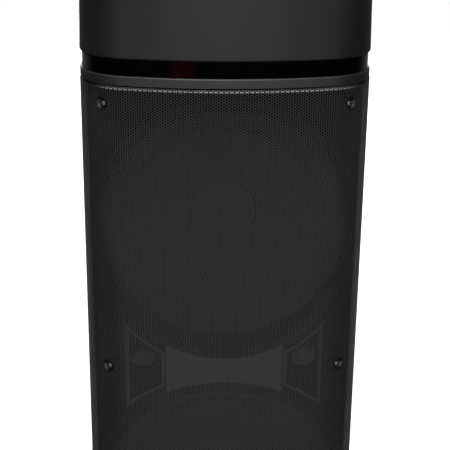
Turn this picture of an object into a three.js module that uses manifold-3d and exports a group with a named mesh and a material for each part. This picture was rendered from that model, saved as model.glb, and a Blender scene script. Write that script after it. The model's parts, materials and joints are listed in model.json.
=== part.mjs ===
// A tall party speaker: a bowed steel grille over two woofers and two side horns, a wrap-around gloss
// display band under a moulded top cap, controls on top, and a wheeled base.
// Millimetres, +Z up, front facing -Y, origin on the floor at the middle of the overall box.
import * as THREE from "three";
import { mergeVertices } from "three/addons/utils/BufferGeometryUtils.js";
import Module from "manifold-3d";

const wasm = await Module();
wasm.setup();

// ---- Driving dimensions -------------------------------------------------------------------------------
const clearance = 0.3; // gap between neighbouring pieces

// Plan of the cabinet
const width = 332; // across the sides
const depth = 352; // from the most forward point of the front to the rear wall
const rearReach = 12; // how far the wheels stand out behind the rear wall
const bowRadius = 470; // front bow
const cornerRadius = 64; // front corners
const rearRadius = 26; // rear corners
const bowChords = 8; // chords in the front bow
const cornerChords = 6; // chords in each front corner
const rearChords = 3; // chords in each rear corner

// Heights of the stack
const footHeight = 10;
const grilleHeight = 692;
const shadowGap = 3; // open line above and below the grille
const ringHeight = 11;
const bandHeight = 18.5; // open height between ring and cap
const capHeight = 94;

// Walls
const cabinetWall = 9;
const skin = 4; // moulded baffle skin
const capWall = 3.5;
const capRoof = 6;
const capDraft = 2; // how far the cap leans in over its height
const capTopRound = 9;
const capBottomRound = 3;
const bandInset = 2.5;
const bandWall = 3.5;
const ringWall = 16;
const plinthWall = 4;

// Grille
const grilleInset = 3;
const grilleSheet = 1.6;
const grilleReturn = 67; // how far back the sides of the grille reach from the front
const grilleFlange = 7;
const screwInset = 26; // screw places in from the sides
const screwEdge = 20; // outer screws from the ends of the grille
const dimpleRadius = 7;
const dimpleDepth = 3.5;
const screwHeadRadius = 3;
const screwHeadHeight = 2.4;
const screwShankRadius = 1.6;
const screwLength = 10;

// Baffle and drivers
const baffleInset = 14; // front skin of the baffle behind the outline
const rimInset = 5.4; // edge of the seat plate and end walls
const seatDepth = 58; // front face of the seat plate behind the front
const seatPlate = 6;
const wellGap = 2.5; // wall of a driver well clear of the woofer frame
const ringGap = 1; // light ring clear of its well
const ringWidth = 8;
const ringRise = 3; // how far a light ring stands out of the skin
const wooferDrop = 171; // woofer axis below the top of the grille, and the same above its bottom
const frameRadius = 146;
const frameSeat = 16; // width of the frame's seat
const surroundWidth = 18;
const coneDepth = 45;
const coilRadius = 30;
const dustCapRadius = 37;
const magnetRadius = 72;
const magnetHeight = 34;
const basketDepth = 72;
const wooferSteps = 22;

// Horns, in the corners left beside the waist of the figure of eight
const hornNear = 72; // inner end of the mouth from the middle
const hornFar = 119; // outer end
const hornGap = 10.5; // mouth's curved sides clear of the light rings
const hornX = 100; // dome axis
const hornWall = 3.5;
const domeRadius = 13;
const tweeterRadius = 26;
const tweeterLength = 24;

// Controls
const panelWidth = 226;
const panelDepth = 84;
const panelBehind = 86; // middle of the control panel behind the front
const panelThick = 3;
const panelLedge = 7;
const volumeRadius = 23;
const volumeHeight = 16;
const dialRadius = 11;
const dialHeight = 12;
const dialX = 92;
const shaftRadius = 3;
const buttonRadius = 7;
const buttonPitch = 30;
const buttonHeight = 3; // above the panel
const buttonTravel = 1.2;
const slotWidth = 236;
const slotDepth = 14;
const slotOpening = 15;
const slotBehind = 62; // device slot behind the middle of the panel

// Carry handle
const gripWidth = 190;
const gripPocket = 42; // depth of the pocket from the top
const gripReach = 74; // front wall of the grip pocket before the rear wall
const barHeight = 20;
const barDepth = 24;

// Rear panel
const rearPanelWidth = 156;
const rearPanelHeight = 216;
const rearPanelZ = 560; // middle
const rearPanelThick = 3;
const coverWidth = 112;
const coverHeight = 66;
const coverZ = 618; // middle
const coverThick = 3;
const hingeRadius = 2.6;
const hingePinRadius = 1.2;
const trayDepth = 18;
const jackX = 34;
const jackBore = 3.3;
const jackRadius = 8.5;
const usbWidth = 14.4;
const usbHeight = 7.2;
const inletWidth = 24;
const inletHeight = 14;
const inletX = -34;
const rockerX = 34;
const rockerWidth = 13;
const rockerHeight = 21;
const rockerTilt = 8; // degrees either side of level
const lowerRowZ = 500;
const portRadius = 40;
const portLength = 120;
const portZ = 262;

// Inner pieces.
const seatHoleX = 112; // wire holes in the seat plate
const batteryWidth = 190;
const batteryDepth = 90;
const batteryHeight = 73.7;
const batteryReach = 74; // middle of the battery before the rear wall
const amplifierWidth = 132;
const amplifierHeight = 180;
const amplifierReach = 60; // board before the socket tray

// Base
const wheelRadius = 27;
const wheelWidth = 24;
const wheelInset = 20; // outer side of a wheel in from the side of the plinth
const wheelRoom = 3; // wheel well above the wheel
const wellRoof = 6; // plinth above a wheel well
const wheelLift = 3; // floor clearance of a wheel while the speaker stands
const axleRadius = 4;
const footRadius = 17;
const footInset = 50; // feet in from the sides
const footFrontReach = 62; // front feet behind the front
const footRearReach = 66; // rear feet before the rear wall

// ---- Levels and places that follow from them ----------------------------------------------------------
const overallDepth = depth + rearReach;
const frontY = -overallDepth / 2;
const backY = frontY + depth;
const wheelTop = wheelLift + 2 * wheelRadius;
const plinthTop = wheelTop + wheelRoom + wellRoof;
const grilleBottom = plinthTop + shadowGap;
const grilleTop = grilleBottom + grilleHeight;
const ringBottom = grilleTop + shadowGap;
const ringTop = ringBottom + ringHeight;
const capBottom = ringTop + bandHeight;
const capTop = capBottom + capHeight;
const cornerX = width / 2 - cornerRadius;
const bowY = frontY + bowRadius;
const cornerY = bowY - Math.sqrt((bowRadius - cornerRadius) ** 2 - cornerX ** 2);
const cornerTurn = Math.atan2(cornerX, bowY - cornerY);
const cabinetFrontY = frontY + grilleReturn + 1;
const seatY = frontY + seatDepth;
const upperZ = grilleTop - wooferDrop;
const lowerZ = grilleBottom + wooferDrop;
const waistZ = (upperZ + lowerZ) / 2;
const screwX = width / 2 - screwInset;
const screwRows = [screwEdge, grilleHeight / 2, grilleHeight - screwEdge]; // below the top of the grille
const wellRadius = frameRadius + wellGap;
const ringInner = wellRadius + ringGap;
const ringOuter = ringInner + ringWidth;
const basketRadius = frameRadius - frameSeat;
const surroundRadius = basketRadius;
const coneRadius = surroundRadius - surroundWidth;
const hornArc = ringOuter + hornGap; // radius of the mouths' curved sides about the woofer axes
const panelTop = capTop - clearance;
const panelY = frontY + panelBehind;
const slotY = panelY + slotBehind;
const gripFront = backY - gripReach;
const pocketDepth = panelThick + clearance;
const panelFaceY = backY - 2;
const wheelY = frontY + overallDepth - wheelRadius;
const wheelZ = wheelRadius + wheelLift;
const wheelX = width / 2 - wheelInset - wheelWidth / 2;
const footX = width / 2 - footInset;
const footFrontY = frontY + footFrontReach;
const footRearY = backY - footRearReach;

// ---- Solids -------------------------------------------------------------------------------------------

/** A closed geometry as a manifold solid. */
function solid(geometry) {
  const bare = geometry.clone();
  bare.deleteAttribute("normal");
  bare.deleteAttribute("uv");
  const merged = mergeVertices(bare, 1e-4);
  return new wasm.Manifold(
    new wasm.Mesh({
      numProp: 3,
      vertProperties: new Float32Array(merged.attributes.position.array),
      triVerts: new Uint32Array(merged.index.array),
    }),
  );
}

/** A manifold solid as a geometry. */
function toGeometry(made) {
  const mesh = made.getMesh();
  const positions = new Float32Array(mesh.numVert * 3);
  for (let i = 0; i < mesh.numVert; i++) {
    for (let k = 0; k < 3; k++) {
      positions[i * 3 + k] = mesh.vertProperties[i * mesh.numProp + k];
    }
  }
  const indexed = new THREE.BufferGeometry();
  indexed.setAttribute("position", new THREE.BufferAttribute(positions, 3));
  indexed.setIndex(new THREE.BufferAttribute(new Uint32Array(mesh.triVerts), 1));
  const flat = indexed.toNonIndexed();
  flat.computeVertexNormals();
  return flat;
}

/** A box between two corners. */
function box(x0, x1, y0, y1, z0, z1) {
  const geometry = new THREE.BoxGeometry(x1 - x0, y1 - y0, z1 - z0);
  geometry.translate((x0 + x1) / 2, (y0 + y1) / 2, (z0 + z1) / 2);
  return solid(geometry);
}

/** A shape in the XY plane pulled up from z0 to z1, its edges rounded by round. */
function prism(shape, z0, z1, round = 0, steps = 2) {
  const geometry = new THREE.ExtrudeGeometry(shape, {
    depth: z1 - z0 - 2 * round,
    curveSegments: steps,
    bevelEnabled: round > 0,
    bevelThickness: round,
    bevelSize: round,
    bevelOffset: -round,
    bevelSegments: 2,
  });
  geometry.translate(0, 0, z0 + round);
  return geometry;
}

/** A shape in the XZ plane pulled from y0 back to y1, its edges rounded by round. */
function slab(shape, y0, y1, round = 0, steps = 2) {
  const geometry = prism(shape, 0, y1 - y0, round, steps);
  geometry.rotateX(Math.PI / 2);
  geometry.translate(0, y1, 0);
  return geometry;
}

/** A closed profile of [radius, height] points turned about Z, in either order. */
function turned(points, steps) {
  const profile = points.map(([r, z]) => new THREE.Vector2(r, z));
  if (THREE.ShapeUtils.area(profile) < 0) profile.reverse();
  return new THREE.LatheGeometry(profile, steps).rotateX(Math.PI / 2);
}

/** A cylinder along Y from y0 to y1. */
function bore(radius, x, z, y0, y1, steps = wooferSteps) {
  const geometry = new THREE.CylinderGeometry(radius, radius, y1 - y0, steps);
  geometry.translate(x, (y0 + y1) / 2, z);
  return solid(geometry);
}

/** A cylinder along Z from z0 to z1. */
function post(radius, x, y, z0, z1, steps = 20) {
  const geometry = new THREE.CylinderGeometry(radius, radius, z1 - z0, steps);
  geometry.rotateX(Math.PI / 2);
  geometry.translate(x, y, (z0 + z1) / 2);
  return solid(geometry);
}

/** A cylinder along X from x0 to x1. */
function rod(radius, x0, x1, y, z, steps = 20) {
  const geometry = new THREE.CylinderGeometry(radius, radius, x1 - x0, steps);
  geometry.rotateZ(Math.PI / 2);
  geometry.translate((x0 + x1) / 2, y, z);
  return solid(geometry);
}

/** A rectangle with rounded corners about (cx, cy). */
function roundedRect(w, h, r, cx = 0, cy = 0) {
  const shape = new THREE.Shape();
  shape.absarc(cx + w / 2 - r, cy + h / 2 - r, r, 0, Math.PI / 2, false);
  shape.absarc(cx - w / 2 + r, cy + h / 2 - r, r, Math.PI / 2, Math.PI, false);
  shape.absarc(cx - w / 2 + r, cy - h / 2 + r, r, Math.PI, 1.5 * Math.PI, false);
  shape.absarc(cx + w / 2 - r, cy - h / 2 + r, r, 1.5 * Math.PI, 2 * Math.PI, false);
  return shape;
}

/** The D-shaped plan of the cabinet, drawn in by inset all round. */
function plan(inset = 0) {
  const rear = Math.max(rearRadius - inset, 2);
  const rearX = width / 2 - inset - rear;
  const rearY = backY - inset - rear;
  const down = -Math.PI / 2;
  const corner = cornerRadius - inset;
  const points = [];
  const arc = (x, y, radius, from, to, chords) => {
    for (let i = 0; i <= chords; i++) {
      const turn = from + ((to - from) * i) / chords;
      points.push(new THREE.Vector2(x + radius * Math.cos(turn), y + radius * Math.sin(turn)));
    }
  };
  arc(0, bowY, bowRadius - inset, down - cornerTurn, down + cornerTurn, bowChords);
  points.pop();
  arc(cornerX, cornerY, corner, down + cornerTurn, 0, cornerChords);
  arc(rearX, rearY, rear, 0, Math.PI / 2, rearChords);
  arc(-rearX, rearY, rear, Math.PI / 2, Math.PI, rearChords);
  arc(-cornerX, cornerY, corner, Math.PI, Math.PI - down - cornerTurn, cornerChords);
  points.pop();
  return new THREE.Shape(points);
}

/** The plan pulled up as a solid. */
function planSolid(inset, z0, z1, round = 0) {
  return solid(prism(plan(inset), z0, z1, round));
}

/** Leans a geometry in towards the Z axis, from nothing at z0 to amount at z1. */
function draft(geometry, z0, z1, amount) {
  const at = geometry.attributes.position;
  for (let i = 0; i < at.count; i++) {
    const share = THREE.MathUtils.clamp((at.getZ(i) - z0) / (z1 - z0), 0, 1);
    const scale = 1 - (share * amount) / (width / 2);
    at.setX(i, at.getX(i) * scale);
    at.setY(i, at.getY(i) * scale);
  }
  return geometry;
}

/** Everything in front of the plane y. */
function before(y) {
  return box(-width, width, frontY - 50, y, -50, capTop + 50);
}

// ---- The named meshes ---------------------------------------------------------------------------------
const speaker = new THREE.Group();
speaker.name = "party_speaker";

const finishes = {
  mouldedPlastic: { color: 0x2a2b2d, roughness: 0.62, metalness: 0 },
  glossPlastic: { color: 0x050506, roughness: 0.06, metalness: 0 },
  paintedSteel: { color: 0x1b1c1e, roughness: 0.42, metalness: 0.1 },
  cabinet: { color: 0x151617, roughness: 0.75, metalness: 0 },
  baffle: { color: 0x1f2022, roughness: 0.7, metalness: 0 },
  rubber: { color: 0x0c0c0d, roughness: 0.85, metalness: 0 },
  steel: { color: 0x9a9b9d, roughness: 0.3, metalness: 1 },
  ferrite: { color: 0x2b2b2c, roughness: 0.6, metalness: 0.2 },
  paper: { color: 0x17181a, roughness: 0.9, metalness: 0 },
  diffuser: { color: 0x8f9194, roughness: 0.5, metalness: 0 },
  board: { color: 0x123a22, roughness: 0.5, metalness: 0 },
  cell: { color: 0x1d2a44, roughness: 0.5, metalness: 0 },
};

/** Adds one named mesh to the speaker, or to a group in it. */
function add(name, shape, finish, parent = speaker) {
  const geometry = shape.isBufferGeometry ? shape : toGeometry(shape);
  const mesh = new THREE.Mesh(geometry, new THREE.MeshStandardMaterial(finishes[finish]));
  mesh.name = name;
  parent.add(mesh);
  return mesh;
}

// ---- Cabinet shell: side, rear, top and bottom walls, open at the front -------------------------------
const rearOpening = slab(
  roundedRect(rearPanelWidth - 12, rearPanelHeight - 12, 6, 0, rearPanelZ),
  backY - cabinetWall - 5,
  backY + 5,
);
const rearRebate = slab(
  roundedRect(rearPanelWidth + 2 * clearance, rearPanelHeight + 2 * clearance, 8, 0, rearPanelZ),
  panelFaceY - rearPanelThick - clearance,
  backY + 5,
);
const portFlange = portRadius + 12;
const portHole = bore(portRadius + 5, 0, portZ, backY - cabinetWall - 5, backY + 5);
const portRebate = bore(portFlange + 3 * clearance, 0, portZ, backY - 3, backY + 5);
const shell = planSolid(0, plinthTop + clearance, ringBottom - clearance)
  .subtract(before(cabinetFrontY))
  .subtract(planSolid(cabinetWall, plinthTop + cabinetWall, ringBottom - cabinetWall))
  .subtract(solid(rearOpening))
  .subtract(solid(rearRebate))
  .subtract(portHole)
  .subtract(portRebate);
add("cabinet_shell", shell, "cabinet");

// ---- Front baffle: bowed skin, end walls, seat plate, driver wells and screw bosses -------------------
const baffleBottom = grilleBottom + grilleSheet + 2 * clearance;
const baffleTop = grilleTop - grilleSheet - 2 * clearance;
const seatBack = seatY + seatPlate;

/** The curved triangle of a horn mouth in XZ, drawn in by inset; side is -1 or 1. */
function hornMouth(side, inset) {
  const near = hornNear + inset;
  const far = hornFar - inset;
  const radius = hornArc + inset;
  const half = (upperZ - lowerZ) / 2;
  const lift = (x) => half - Math.sqrt(Math.max(radius ** 2 - x ** 2, 0));
  const steps = 5;
  const shape = new THREE.Shape();
  for (let i = 0; i <= steps; i++) {
    const x = near + ((far - near) * i) / steps;
    const point = [side * x, waistZ + lift(x)];
    if (i === 0) shape.moveTo(...point);
    else shape.lineTo(...point);
  }
  for (let i = steps; i >= 0; i--) {
    const x = near + ((far - near) * i) / steps;
    shape.lineTo(side * x, waistZ - lift(x));
  }
  shape.closePath();
  return shape;
}

/** Moves a geometry made about +Z, with z = 0 on the outline, to a grille screw's place, facing out. */
function atScrew(geometry, side, z) {
  const swing = Math.asin((screwX - cornerX) / (cornerRadius - grilleInset));
  const x = cornerX + Math.sin(swing) * cornerRadius;
  const y = cornerY - Math.cos(swing) * cornerRadius;
  geometry.rotateX(Math.PI / 2);
  geometry.rotateZ(side * swing);
  geometry.translate(side * x, y, z);
  return geometry;
}

/** A round peg along a grille screw's axis, between two depths behind the outline. */
function screwPeg(radius, shallow, deep, side, z, steps = 8) {
  const geometry = new THREE.CylinderGeometry(radius, radius, deep - shallow, steps);
  geometry.rotateX(Math.PI / 2);
  geometry.translate(0, 0, -(shallow + deep) / 2);
  return solid(atScrew(geometry, side, z));
}

const screwPlaces = [];
screwRows.forEach((drop, row) => {
  [-1, 1].forEach((side) => {
    const name = "grille_screw_" + ["upper", "middle", "lower"][row] + (side < 0 ? "_left" : "_right");
    screwPlaces.push({ name, side, z: grilleTop - drop });
  });
});
const dimpleBack = grilleInset + dimpleDepth + grilleSheet; // behind the outline
const headSeat = grilleInset + dimpleDepth;

let baffle = planSolid(baffleInset, baffleBottom, baffleTop)
  .subtract(planSolid(baffleInset + skin, baffleBottom + skin, baffleTop - skin))
  .add(planSolid(rimInset, baffleBottom, baffleBottom + skin))
  .add(planSolid(rimInset, baffleTop - skin, baffleTop));
for (const { side, z } of screwPlaces) {
  baffle = baffle.add(screwPeg(5, dimpleBack + clearance, baffleInset + 7, side, z));
}
for (const z of [upperZ, lowerZ]) {
  const well = bore(wellRadius + skin, 0, z, frontY, seatY + 1).intersect(planSolid(baffleInset, 0, capTop));
  baffle = baffle.add(well);
}
baffle = baffle.intersect(before(seatY + 1));
const seat = planSolid(rimInset, baffleBottom, baffleTop).intersect(
  box(-width, width, seatY, seatBack, 0, capTop),
);
baffle = baffle.add(seat);
for (const z of [upperZ, lowerZ]) {
  baffle = baffle
    .subtract(bore(wellRadius, 0, z, frontY - 10, seatY))
    .subtract(bore(basketRadius + 1.5, 0, z, seatY - 1, seatBack + 10));
}
for (const side of [-1, 1]) {
  const mouth = solid(slab(hornMouth(side, -clearance), frontY - 10, seatY));
  baffle = baffle.subtract(mouth).subtract(bore(20, side * hornX, waistZ, seatY - 5, seatBack + 5, 16));
  for (const z of [baffleTop - 16, baffleBottom + 16]) {
    baffle = baffle.subtract(bore(5, side * seatHoleX, z, seatY - 5, seatBack + 5, 8));
  }
}
for (const { side, z } of screwPlaces) {
  const pilot = screwShankRadius + clearance;
  baffle = baffle.subtract(screwPeg(pilot, 0, headSeat + screwLength + 1, side, z, 6));
}
add("front_baffle", baffle, "baffle");

// ---- Foam seal between the seat plate and the cabinet's front edge ------------------------------------
const sealBox = box(-width, width, seatBack + clearance, cabinetFrontY - clearance, 0, capTop);
const sealRing = planSolid(rimInset + 0.5, baffleBottom + 1, baffleTop - 1)
  .subtract(planSolid(rimInset + 7, baffleBottom + 9, baffleTop - 9))
  .intersect(sealBox);
add("baffle_seal", sealRing, "rubber");

// ---- Light rings, bowed to the skin -------------------------------------------------------------------
for (const [name, z] of [["upper", upperZ], ["lower", lowerZ]]) {
  const shellOfRing = planSolid(baffleInset - ringRise, 0, capTop).subtract(
    planSolid(baffleInset - clearance, -10, capTop + 10),
  );
  const ring = bore(ringOuter, 0, z, frontY - 10, cabinetFrontY - 14, 32)
    .subtract(bore(ringInner, 0, z, frontY - 20, cabinetFrontY + 10, 32))
    .intersect(shellOfRing);
  add("light_ring_" + name, ring, "diffuser");
}

// ---- Woofers: frame and basket, surround, cone with coil former, dust cap, magnet ---------------------

/** A wedge-shaped cutter for one window of the basket, in the woofer's own frame. */
function basketWindow(turn) {
  const geometry = new THREE.BoxGeometry(60, 74, 44);
  geometry.translate(96, 0, -40);
  geometry.rotateZ(turn);
  return solid(geometry);
}

function woofer(name, z) {
  const unit = new THREE.Group();
  unit.position.set(0, seatY - clearance, z);
  unit.rotation.x = Math.PI / 2;
  speaker.add(unit);

  const waist = magnetRadius - 8;
  const basketProfile = [
    [frameRadius, 0],
    [frameRadius, 4.5],
    [basketRadius - 7, 4.5],
    [basketRadius - 7, 0],
    [waist - 3, 3 - basketDepth],
    [coilRadius + 4, 3 - basketDepth],
    [coilRadius + 4, -basketDepth],
    [waist, -basketDepth],
    [basketRadius, -8],
    [basketRadius, 0],
    [frameRadius, 0],
  ];
  let basket = solid(turned(basketProfile, wooferSteps));
  for (let i = 0; i < 4; i++) basket = basket.subtract(basketWindow((i * Math.PI) / 2));
  add("woofer_" + name + "_basket", basket, "paintedSteel", unit);

  const lip = 4.5 + clearance;
  const rollOuter = surroundRadius - 6;
  const rollInner = coneRadius + 2.5;
  const rollMid = (rollOuter + rollInner) / 2;
  const rollR = (rollOuter - rollInner) / 2;
  const surround = [
    [surroundRadius + 3, lip],
    [surroundRadius + 3, lip + 1.4],
    [rollOuter, lip + 1.4],
    [rollMid + rollR * 0.6, lip + rollR * 1.1],
    [rollMid - rollR * 0.6, lip + rollR * 1.1],
    [rollInner - 1.8, lip],
    [rollInner - 1.8, lip - 1.2],
    [rollMid - rollR * 0.5, lip + rollR * 0.75],
    [rollMid + rollR * 0.5, lip + rollR * 0.75],
    [rollOuter - 1.5, lip],
    [surroundRadius + 3, lip],
  ];
  add("woofer_" + name + "_surround", solid(turned(surround, wooferSteps)), "rubber", unit);

  const rim = lip - 1.5;
  const neckZ = rim - coneDepth;
  const coneProfile = [
    [coneRadius, rim],
    [coneRadius, rim - 1.6],
    [coilRadius, neckZ - 1.6],
    [coilRadius, neckZ - 14],
    [coilRadius - 1.5, neckZ - 14],
    [coilRadius - 1.5, neckZ],
    [coneRadius, rim],
  ];
  add("woofer_" + name + "_cone", solid(turned(coneProfile, wooferSteps)), "paper", unit);

  const slope = coneDepth / (coneRadius - coilRadius + 1.5);
  const capSeat = rim - (coneRadius - dustCapRadius) * slope + clearance * 1.6;
  const dome = [0, 1, 2, 3].map((i) => (Math.PI / 2) * (i / 3));
  const capProfile = [
    ...dome.map((a) => [dustCapRadius * Math.cos(a), capSeat + 12 * Math.sin(a)]),
    ...dome.reverse().map((a) => [(dustCapRadius - 1.5) * Math.cos(a), capSeat + 10.5 * Math.sin(a)]),
    [dustCapRadius, capSeat],
  ];
  capProfile[3][0] = 0;
  capProfile[4][0] = 0;
  add("woofer_" + name + "_dust_cap", solid(turned(capProfile, 20)), "paper", unit);

  const top = -basketDepth - clearance;
  const magnetProfile = [
    [0, top - magnetHeight],
    [magnetRadius - 14, top - magnetHeight],
    [magnetRadius - 12, top - magnetHeight + 6],
    [magnetRadius, top - magnetHeight + 7],
    [magnetRadius, top - 7],
    [magnetRadius - 10, top - 6],
    [magnetRadius - 10, top],
    [0, top],
  ];
  add("woofer_" + name + "_magnet", solid(turned(magnetProfile, 24)), "ferrite", unit);
}

woofer("upper", upperZ);
woofer("lower", lowerZ);

// ---- Horns and their drivers --------------------------------------------------------------------------
const hornFloorY = seatY - 8;
for (const side of [-1, 1]) {
  const label = side < 0 ? "left" : "right";
  const cutMouth = solid(slab(hornMouth(side, hornWall), frontY - 10, hornFloorY));
  const horn = solid(slab(hornMouth(side, 0.2), frontY - 5, seatY - clearance))
    .intersect(planSolid(baffleInset - 1, 0, capTop))
    .subtract(cutMouth)
    .subtract(bore(domeRadius + 2, side * hornX, waistZ, frontY, seatY + 5, 24));
  add("tweeter_" + label + "_horn", horn, "baffle");

  const unit = new THREE.Group();
  unit.position.set(side * hornX, seatBack + clearance, waistZ);
  unit.rotation.x = Math.PI / 2;
  speaker.add(unit);
  const reach = seatBack + clearance - hornFloorY; // from the rear of the plate to the horn floor
  const tweeterProfile = [
    [0, -tweeterLength],
    [tweeterRadius - 4, -tweeterLength],
    [tweeterRadius, -tweeterLength + 4],
    [tweeterRadius, 0],
    [18, 0],
    [18, seatPlate],
    [domeRadius, seatPlate + clearance],
    [domeRadius, reach - 4],
    [domeRadius * 0.8, reach + 1.5],
    [domeRadius * 0.45, reach + 4],
    [0, reach + 5],
  ];
  add("tweeter_" + label + "_driver", solid(turned(tweeterProfile, 18)), "ferrite", unit);
}

// ---- Grille: bent sheet with end flanges and six stamped dimples --------------------------------------
let grille = planSolid(grilleInset, grilleBottom, grilleTop, 1.2)
  .subtract(planSolid(grilleInset + grilleSheet, grilleBottom + grilleSheet, grilleTop - grilleSheet))
  .subtract(planSolid(grilleInset + grilleSheet + grilleFlange, grilleBottom - 5, grilleTop + 5))
  .intersect(before(frontY + grilleReturn));
for (const { side, z } of screwPlaces) {
  const dish = [
    [dimpleRadius + 1, -grilleInset - 0.35],
    [dimpleRadius + 0.6, -grilleInset - grilleSheet],
    [4.6, -dimpleBack],
    [screwShankRadius + clearance, -dimpleBack],
    [screwShankRadius + clearance, -headSeat],
    [3.9, -headSeat],
    [dimpleRadius + 1, -grilleInset - 0.35],
  ];
  grille = grille
    .subtract(screwPeg(dimpleRadius, -5, 20, side, z, 8))
    .add(solid(atScrew(turned(dish, 8), side, z)));
}
add("grille", grille, "paintedSteel");

// ---- Grille screws ------------------------------------------------------------------------------------
for (const { name, side, z } of screwPlaces) {
  const seatAt = -headSeat + clearance / 2;
  const screw = [
    [0, seatAt - screwLength],
    [screwShankRadius, seatAt - screwLength + 1.5],
    [screwShankRadius, seatAt],
    [screwHeadRadius, seatAt],
    [screwHeadRadius, seatAt + screwHeadHeight * 0.45],
    [screwHeadRadius * 0.75, seatAt + screwHeadHeight * 0.85],
    [0, seatAt + screwHeadHeight],
  ];
  add(name, solid(atScrew(turned(screw, 10), side, z)), "steel");
}

// ---- Trim ring, display band and the light bar behind it ----------------------------------------------
const trimRing = planSolid(0, ringBottom, ringTop).subtract(planSolid(ringWall, ringBottom - 5, ringTop + 5));
add("trim_ring", trimRing, "mouldedPlastic");

const bandBottom = ringTop + clearance;
const bandTop = capBottom - clearance;
const band = planSolid(bandInset, bandBottom, bandTop).subtract(
  planSolid(bandInset + bandWall, bandBottom - 5, bandTop + 5),
);
add("display_band", band, "glossPlastic");

const barOuter = bandInset + bandWall + clearance;
const lightBar = planSolid(barOuter, bandBottom + 3, bandTop - 3)
  .subtract(planSolid(barOuter + 2.5, bandBottom - 5, bandTop + 5))
  .intersect(before(backY - 60));
add("light_bar", lightBar, "diffuser");

// ---- Top cap: drafted shell with panel opening, device slot and grip pocket ---------------------------
const capOuter = draft(prism(plan(0), capBottom - 40, capTop, capTopRound), capBottom, capTop, capDraft);
const capFoot = solid(prism(plan(0), capBottom, capTop + 40, capBottomRound));
const slotBox = box(
  -slotWidth / 2,
  slotWidth / 2,
  slotY - slotOpening / 2,
  slotY + slotOpening / 2,
  capTop - slotDepth,
  capTop + 5,
);
const slotWallBox = box(
  -slotWidth / 2 - capWall,
  slotWidth / 2 + capWall,
  slotY - slotOpening / 2 - capWall,
  slotY + slotOpening / 2 + capWall,
  capTop - slotDepth - capWall,
  capTop,
);
const pocketBox = box(-gripWidth / 2, gripWidth / 2, gripFront, backY + 5, capTop - gripPocket, capTop + 5);
const pocketWallBox = box(
  -gripWidth / 2 - capWall,
  gripWidth / 2 + capWall,
  gripFront - capWall,
  backY + 5,
  capTop - gripPocket - capWall,
  capTop,
);
const capCavity = planSolid(capWall + capDraft, capBottom - 5, capTop - capRoof)
  .subtract(slotWallBox)
  .subtract(pocketWallBox);
const panelPocket = solid(
  prism(
    roundedRect(panelWidth + 2 * clearance, panelDepth + 2 * clearance, 12, 0, panelY),
    capTop - pocketDepth - clearance,
    capTop + 5,
  ),
);
const panelThrough = solid(
  prism(
    roundedRect(panelWidth - 2 * panelLedge, panelDepth - 2 * panelLedge, 8, 0, panelY),
    capTop - 20,
    capTop + 5,
  ),
);
const barY = backY - capDraft - barDepth / 2 - 4;
const barZ = capTop - capTopRound - barHeight / 2;
const boltHole = rod(3 + clearance, -gripWidth / 2 - 10, gripWidth / 2 + 10, barY, barZ, 12);
const cap = solid(capOuter)
  .intersect(capFoot)
  .subtract(capCavity)
  .subtract(slotBox)
  .subtract(pocketBox)
  .subtract(panelPocket)
  .subtract(panelThrough)
  .subtract(boltHole);
add("top_cap", cap, "mouldedPlastic");

// ---- Carry handle: a padded bar across the grip pocket, with a stub into each cheek -------------------
const barShape = roundedRect(barDepth, barHeight, 8);
const barGeometry = prism(barShape, 0, gripWidth - 2 * clearance, 2);
barGeometry.rotateX(Math.PI / 2);
barGeometry.rotateZ(Math.PI / 2);
barGeometry.translate(-gripWidth / 2 + clearance, barY, barZ);
const handle = solid(barGeometry).add(
  rod(3, -gripWidth / 2 - capWall + 0.4, gripWidth / 2 + capWall - 0.4, barY, barZ, 12),
);
add("carry_handle", handle, "rubber");

// ---- Control panel, knobs, buttons and the board below ------------------------------------------------
const volumeY = panelY - 4;
const buttonY = panelY + panelDepth / 2 - 16;
const buttons = ["power", "source", "play", "light", "bass"].map((name, i) => ({
  name: "button_" + name,
  x: (i - 2) * buttonPitch,
}));
let panel = solid(
  prism(roundedRect(panelWidth, panelDepth, 12, 0, panelY), capTop - pocketDepth, panelTop - clearance),
);
const panelUnder = capTop - pocketDepth;
const panelFace = panelTop - clearance;
for (const x of [-dialX, 0, dialX]) {
  panel = panel.subtract(post(shaftRadius + 0.5, x, volumeY - 8, panelUnder - 5, panelFace + 5, 16));
}
for (const { x } of buttons) {
  panel = panel.subtract(post(buttonRadius + clearance, x, buttonY, panelUnder - 5, panelFace + 5, 14));
}
add("control_panel", panel, "glossPlastic");

/** A knob with a shaft that reaches down to the board; the joint axis is its own +Z. */
function knob(name, x, radius, height) {
  const base = panelFace + 0.8;
  const profile = [
    [0, panelUnder - 8],
    [shaftRadius, panelUnder - 8],
    [shaftRadius, base],
    [radius + 0.8, base],
    [radius + 0.8, base + 1.5],
    [radius, base + 2.5],
    [radius - 0.6, base + height - 2],
    [radius - 2.2, base + height],
    [radius - 5, base + height - 0.6],
    [0, base + height - 0.6],
  ];
  const geometry = turned(profile, radius > 15 ? 24 : 16);
  geometry.translate(x, volumeY - 8, 0);
  const pointer = box(
    x - 0.7,
    x + 0.7,
    volumeY - 8 - radius + 1.5,
    volumeY - 8 - radius * 0.45,
    base + height - 1.4,
    base + height + 5,
  );
  add(name, solid(geometry).subtract(pointer), "mouldedPlastic");
}
knob("volume_knob", 0, volumeRadius, volumeHeight);
knob("mic_knob", -dialX, dialRadius, dialHeight);
knob("echo_knob", dialX, dialRadius, dialHeight);

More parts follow.
